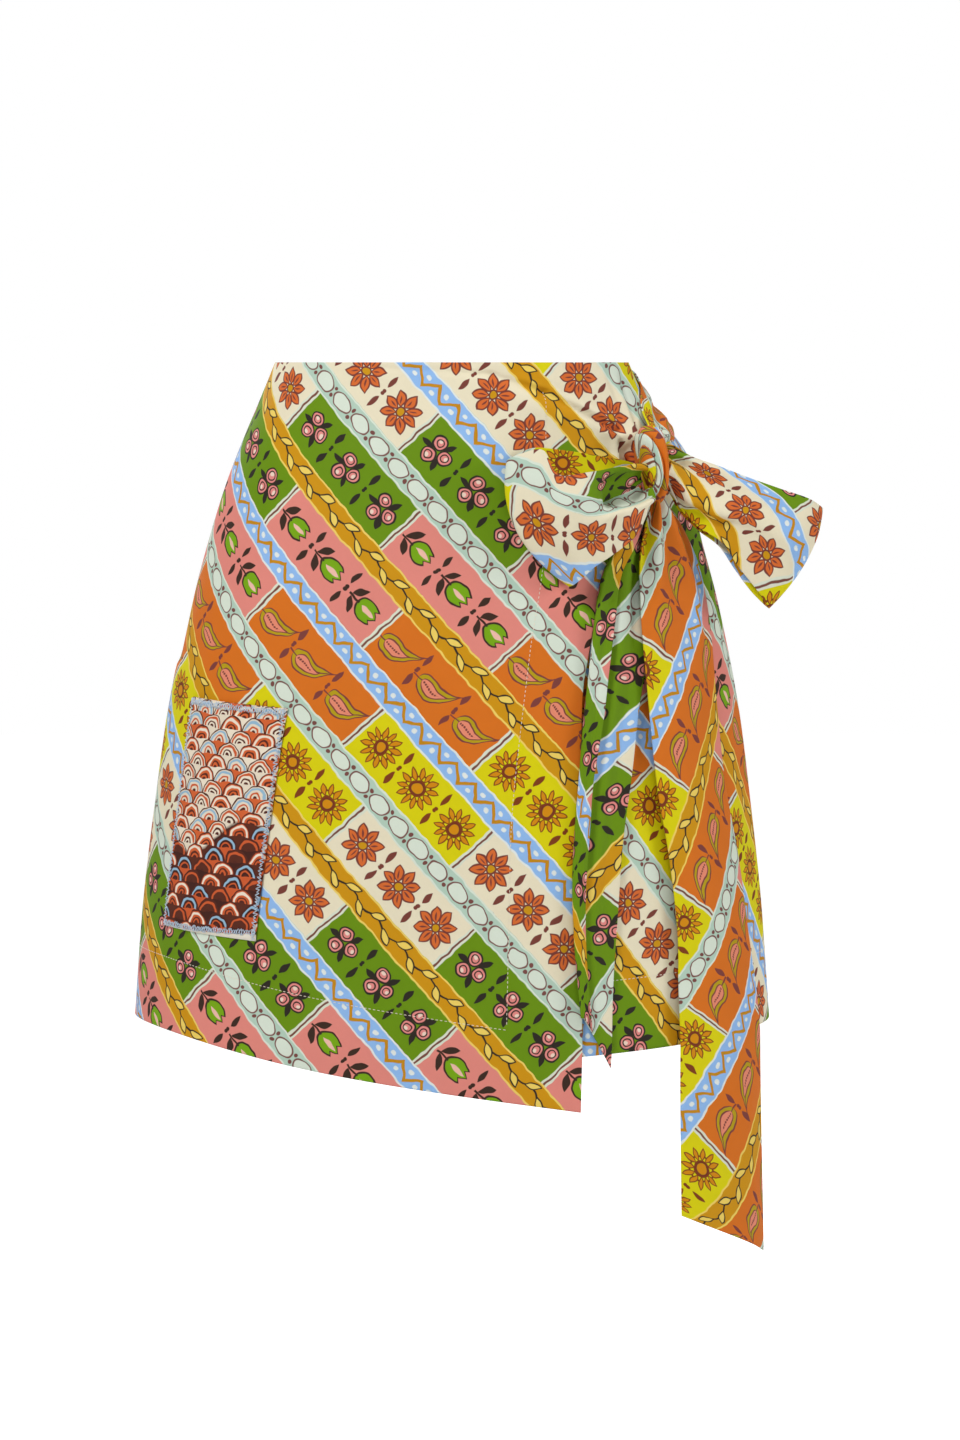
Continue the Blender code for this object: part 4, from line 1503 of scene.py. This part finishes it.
def pleat_place(share, height):
    """Which pleat a place on the knot lies in, counted across it. Pleats bow to the left hip."""
    place = share + PLEAT_ARC * (height - PLEAT_ARC_FOOT) ** 2
    return PLEATS * place + PLEAT_UNEVEN * math.sin(PLEAT_UNEVEN_RATE * place) + PLEAT_START


def knot_shape():
    """A barrel turned from an arched profile, pressed into rounded pleats with sharp valleys."""
    knot = bmesh.new()
    points = []
    for step in range(KNOT_PROFILE_STEPS + 1):
        share = 2 * step / KNOT_PROFILE_STEPS - 1
        points.append(knot.verts.new((share, 0, (1 - abs(share) ** KNOT_DOME) ** 0.5)))
    line = [knot.edges.new(pair) for pair in zip(points, points[1:])]
    bmesh.ops.spin(
        knot,
        geom=points + line,
        cent=(0, 0, 0),
        axis=(1, 0, 0),
        angle=math.tau,
        steps=KNOT_TURN_STEPS,
        use_merge=True,
    )
    bmesh.ops.remove_doubles(knot, verts=knot.verts, dist=MERGE_DISTANCE)
    uv_layer = knot.loops.layers.uv.new("flat")
    for face in knot.faces:
        angles = [math.atan2(loop.vert.co.y, loop.vert.co.z) for loop in face.loops]
        wraps = max(angles) - min(angles) > math.pi
        for loop, angle in zip(face.loops, angles):
            angle = angle + math.tau if wraps and angle < 0 else angle
            spot = loop.vert.co
            height = spot.z / max(math.hypot(spot.y, spot.z), MERGE_DISTANCE)
            hidden = math.floor(pleat_place(spot.x, height)) * HIDDEN_CLOTH
            loop[uv_layer].uv = (angle * CLOTH_ROUND, spot.x * CLOTH_ACROSS + hidden)
    for vertex in knot.verts:
        share, radius = vertex.co.x, math.hypot(vertex.co.y, vertex.co.z)
        height = vertex.co.z / max(radius, MERGE_DISTANCE)
        within = pleat_place(share, height) % 1.0
        swell = PLEAT_DEPTH * (math.sqrt(1 - (2 * within - 1) ** 2) - PLEAT_MIDDLE) * radius
        along = share * KNOT_HALF_WIDTH * (1 + KNOT_TAPER * vertex.co.z)
        up = vertex.co.z * (KNOT_HALF_HEIGHT + swell)
        out = vertex.co.y * (KNOT_HALF_DEPTH + swell)
        vertex.co = bow_point(along - KNOT_LEAN * up, up, out)
    knot.normal_update()
    bmesh.ops.recalc_face_normals(knot, faces=knot.faces)
    return knot


knot_cloth = cloth_material("knot_face", PRINT, turn=12.0, along=-65.0, across=113.0)
knot = made_up("bow_knot_cloth", knot_shape(), [knot_cloth])
stand_in(knot, "bow_knot")

# ---- Tails ---------------------------------------------------------------------------------------
# The ends of the two ties. The long one hangs from the knot to below the hem, cut at a slant; the
# short one comes from under the left loop and is folded over lengthwise at its left edge.

# Sections across a band at its two edges and its middle: degrees, metres down and millimetres out.
BandSection = namedtuple(
    "BandSection",
    "first_angle first_drop first_out middle_angle middle_drop middle_out "
    "last_angle last_drop last_out",
)
LONG_TAIL = (
    BandSection(52.0, 0.0925, 14.0, 54.0, 0.0930, 17.0, 56.0, 0.0920, 13.5),
    BandSection(51.5, 0.0985, 15.0, 54.0, 0.0990, 18.5, 57.0, 0.0980, 14.0),
    BandSection(48.5, 0.112, 13.0, 54.5, 0.112, 18.0, 63.5, 0.108, 9.0),
    BandSection(44.5, 0.138, 11.5, 55.0, 0.138, 14.0, 70.0, 0.138, 6.5),
    BandSection(42.0, 0.176, 11.0, 55.0, 0.176, 12.0, 69.0, 0.176, 6.0),
    BandSection(41.0, 0.231, 10.0, 53.0, 0.231, 11.0, 64.5, 0.231, 6.0),
    BandSection(41.2, 0.286, 9.0, 52.0, 0.286, 11.0, 63.0, 0.286, 6.5),
    BandSection(43.0, 0.341, 8.0, 54.0, 0.341, 11.0, 65.2, 0.345, 6.5),
    BandSection(43.6, 0.392, 8.0, 55.0, 0.394, 11.0, 66.5, 0.398, 6.5),
    BandSection(43.2, 0.433, 8.0, 55.5, 0.438, 11.0, 68.6, 0.444, 6.5),
    BandSection(43.0, 0.497, 8.0, 56.0, 0.506, 11.0, 69.6, 0.516, 6.5),
    BandSection(43.4, 0.588, 8.0, 57.0, 0.608, 12.0, 71.8, 0.6265, 6.5),
)
LONG_TAIL_CREASES = (
    Crease(0, 9, 60, 4, -3.6, 6.0),
    Crease(0, 22, 104, 15, 3.6, 6.0),
    Crease(0, 36, 84, 36, -4.8, 6.0),
    Crease(0, 50, 112, 57, 3.4, 6.0),
    Crease(0, 63, 66, 69, -3.6, 5.0),
    Crease(54, 44, 120, 42, -1.0, 6.0),
    Crease(76, 68, 150, 66, -1.2, 6.0),
    Crease(130, 22, 300, 28, 1.0, 14.0),
    Crease(180, 58, 330, 52, -0.8, 15.0),
    Crease(340, 14, 520, 26, -0.8, 15.0),
    Crease(420, 56, 530, 62, 0.8, 12.0),
)
BAND_EDGES = TieEdges("first", "middle", "last", parts=("_angle", "_drop", "_out"))


def band_point(angle, drop, out):
    return worn_point(angle, drop, out * MILLIMETRE)


def laid_band(spot, across):
    return band_point(*spot)


long_tail = lay_tie(
    "tail_long_cloth",
    rows=220,
    columns=40,
    place=tie_place(LONG_TAIL, BAND_EDGES, band_point, False, laid_band, LONG_TAIL_CREASES),
    material=cloth_material("tail_long_face", PRINT, turn=-35.0, along=-53.0, across=59.0),
)
stand_in(long_tail, "tail_long")

FoldedSection = namedtuple(
    "FoldedSection",
    "drop left_angle flap_angle right_angle left_out right_out",
)
SHORT_TAIL = (
    FoldedSection(0.104, 48.0, 51.0, 54.0, 6.2, 6.5),
    FoldedSection(0.125, 40.8, 45.0, 50.0, 6.4, 6.0),
    FoldedSection(0.145, 34.8, 39.0, 47.0, 6.8, 5.6),
    FoldedSection(0.176, 31.2, 35.4, 44.2, 7.2, 5.4),
    FoldedSection(0.215, 28.3, 32.0, 41.5, 7.2, 5.0),
    FoldedSection(0.241, 26.6, 30.2, 39.0, 7.4, 4.6),
    FoldedSection(0.284, 24.7, 27.0, 36.0, 7.6, 4.4),
    FoldedSection(0.327, 23.2, 25.4, 33.1, 7.6, 4.2),
    FoldedSection(0.372, 22.4, 24.2, 31.2, 7.6, 4.0),
    FoldedSection(0.424, 22.4, 23.9, 29.5, 7.6, 3.8),
    FoldedSection(0.481, 23.2, 24.6, 28.6, 7.4, 3.6),
)
SHORT_TAIL_CUT = 0.036
CUT_START = 0.5
SHORT_TAIL_WIDTH = 0.056
FLAP_SHARE = 0.25
FOLD_SHARE = 0.5
FOLD_RADIUS = 0.0016
BODY_RADIUS = 0.2
SHORT_TAIL_CREASES = (
    Crease(0, 33, 100, 33, -2.2, 3.6),
    Crease(0, 42, 160, 41, 2.2, 4.0),
    Crease(0, 50, 130, 49, -1.8, 3.4),
    Crease(90, 37, 240, 35, -1.6, 3.8),
    Crease(130, 48, 300, 46, -1.4, 4.0),
    Crease(170, 42, 340, 42, 1.3, 4.4),
    Crease(60, 6, 200, 9, -1.3, 3.4),
    Crease(200, 5, 340, 8, 1.1, 3.6),
)


def short_tail_place(row, column):
    """Across the tail: the flap up to the fold, round the fold, then the layer behind it."""
    drop = SHORT_TAIL[0].drop + row * (SHORT_TAIL[-1].drop - SHORT_TAIL[0].drop)
    left, flap, right, left_out, right_out = (
        smooth_value(SHORT_TAIL, name, drop) for name in FoldedSection._fields[1:]
    )
    if column < FLAP_SHARE:
        angle = flap + (left - flap) * column / FLAP_SHARE
        turn = 1.0
    elif column < FOLD_SHARE:
        turn = math.cos(math.pi * (column - FLAP_SHARE) / (FOLD_SHARE - FLAP_SHARE))
        angle = left - math.degrees(FOLD_RADIUS * math.sqrt(1 - turn * turn) / BODY_RADIUS)
    else:
        angle = left + (right - left) * (column - FOLD_SHARE) / (1 - FOLD_SHARE)
        turn = -1.0
    level = (angle - left) / (right - left)
    drop -= SHORT_TAIL_CUT * (1 - max(level, 0.0)) * soft_step(CUT_START, 1.0, row)
    along = drop - SHORT_TAIL[0].drop
    across = column * SHORT_TAIL_WIDTH
    lift, _ = crease_pull(SHORT_TAIL_CREASES, along, across)
    lying = (left_out + (right_out - left_out) * level) * MILLIMETRE
    return worn_point(angle, drop, lying + FOLD_RADIUS * (turn + 1) + lift), (along, across)


short_tail = lay_tie(
    "tail_short_cloth",
    rows=180,
    columns=64,
    place=short_tail_place,
    material=cloth_material("tail_short_face", PRINT, turn=-38.0, along=217.0, across=22.0),
)
stand_in(short_tail, "tail_short")

# ---- Back tie ------------------------------------------------------------------------------------
# The other tie, a doubled strip of the same cotton. It starts on the back panel's top edge, comes
# round over the left hip, and twists narrow as it nears the knot.
BACK_TIE = (
    BandSection(112.0, 0.036, 3.4, 112.0, 0.021, 3.0, 112.0, 0.006, 2.8),
    BandSection(102.0, 0.038, 5.0, 101.0, 0.022, 4.8, 100.0, 0.006, 4.0),
    BandSection(94.0, 0.041, 4.6, 91.5, 0.027, 4.0, 89.0, 0.014, 3.2),
    BandSection(88.5, 0.044, 5.0, 83.5, 0.031, 3.8, 79.0, 0.020, 3.4),
    BandSection(84.0, 0.046, 6.0, 77.5, 0.035, 4.4, 71.5, 0.026, 5.0),
    BandSection(78.0, 0.052, 7.0, 72.5, 0.043, 4.8, 67.0, 0.035, 6.5),
    BandSection(70.0, 0.0545, 14.0, 66.0, 0.0490, 12.0, 62.0, 0.0440, 13.5),
    BandSection(59.0, 0.0575, 19.5, 57.6, 0.0530, 20.5, 56.8, 0.0485, 20.5),
)
BACK_TIE_CREASES = (
    Crease(150, 40, 62, 40, -5.0, 9.0),
    Crease(150, 16, 60, 20, 3.0, 9.0),
    Crease(150, 64, 66, 60, 3.4, 9.0),
    Crease(150, 28, 90, 30, -2.4, 5.0),
    Crease(150, 6, 80, 8, -2.0, 5.0),
    Crease(150, 74, 84, 74, -2.2, 5.0),
    Crease(70, 52, 10, 48, -1.8, 7.0),
    Crease(80, 30, 14, 26, 1.6, 7.0),
    Crease(60, 66, 8, 66, 1.2, 6.0),
)
UPPER_EDGE_FIRST = TieEdges("last", "middle", "first", BAND_EDGES.parts)
back_tie = lay_tie(
    "tie_from_back",
    rows=170,
    columns=64,
    place=tie_place(BACK_TIE, UPPER_EDGE_FIRST, band_point, False, laid_band, BACK_TIE_CREASES),
    material=cloth_material("back_tie_face", PRINT, turn=40.0, along=-99.0, across=116.0),
)
stand_in(back_tie, "back_tie")
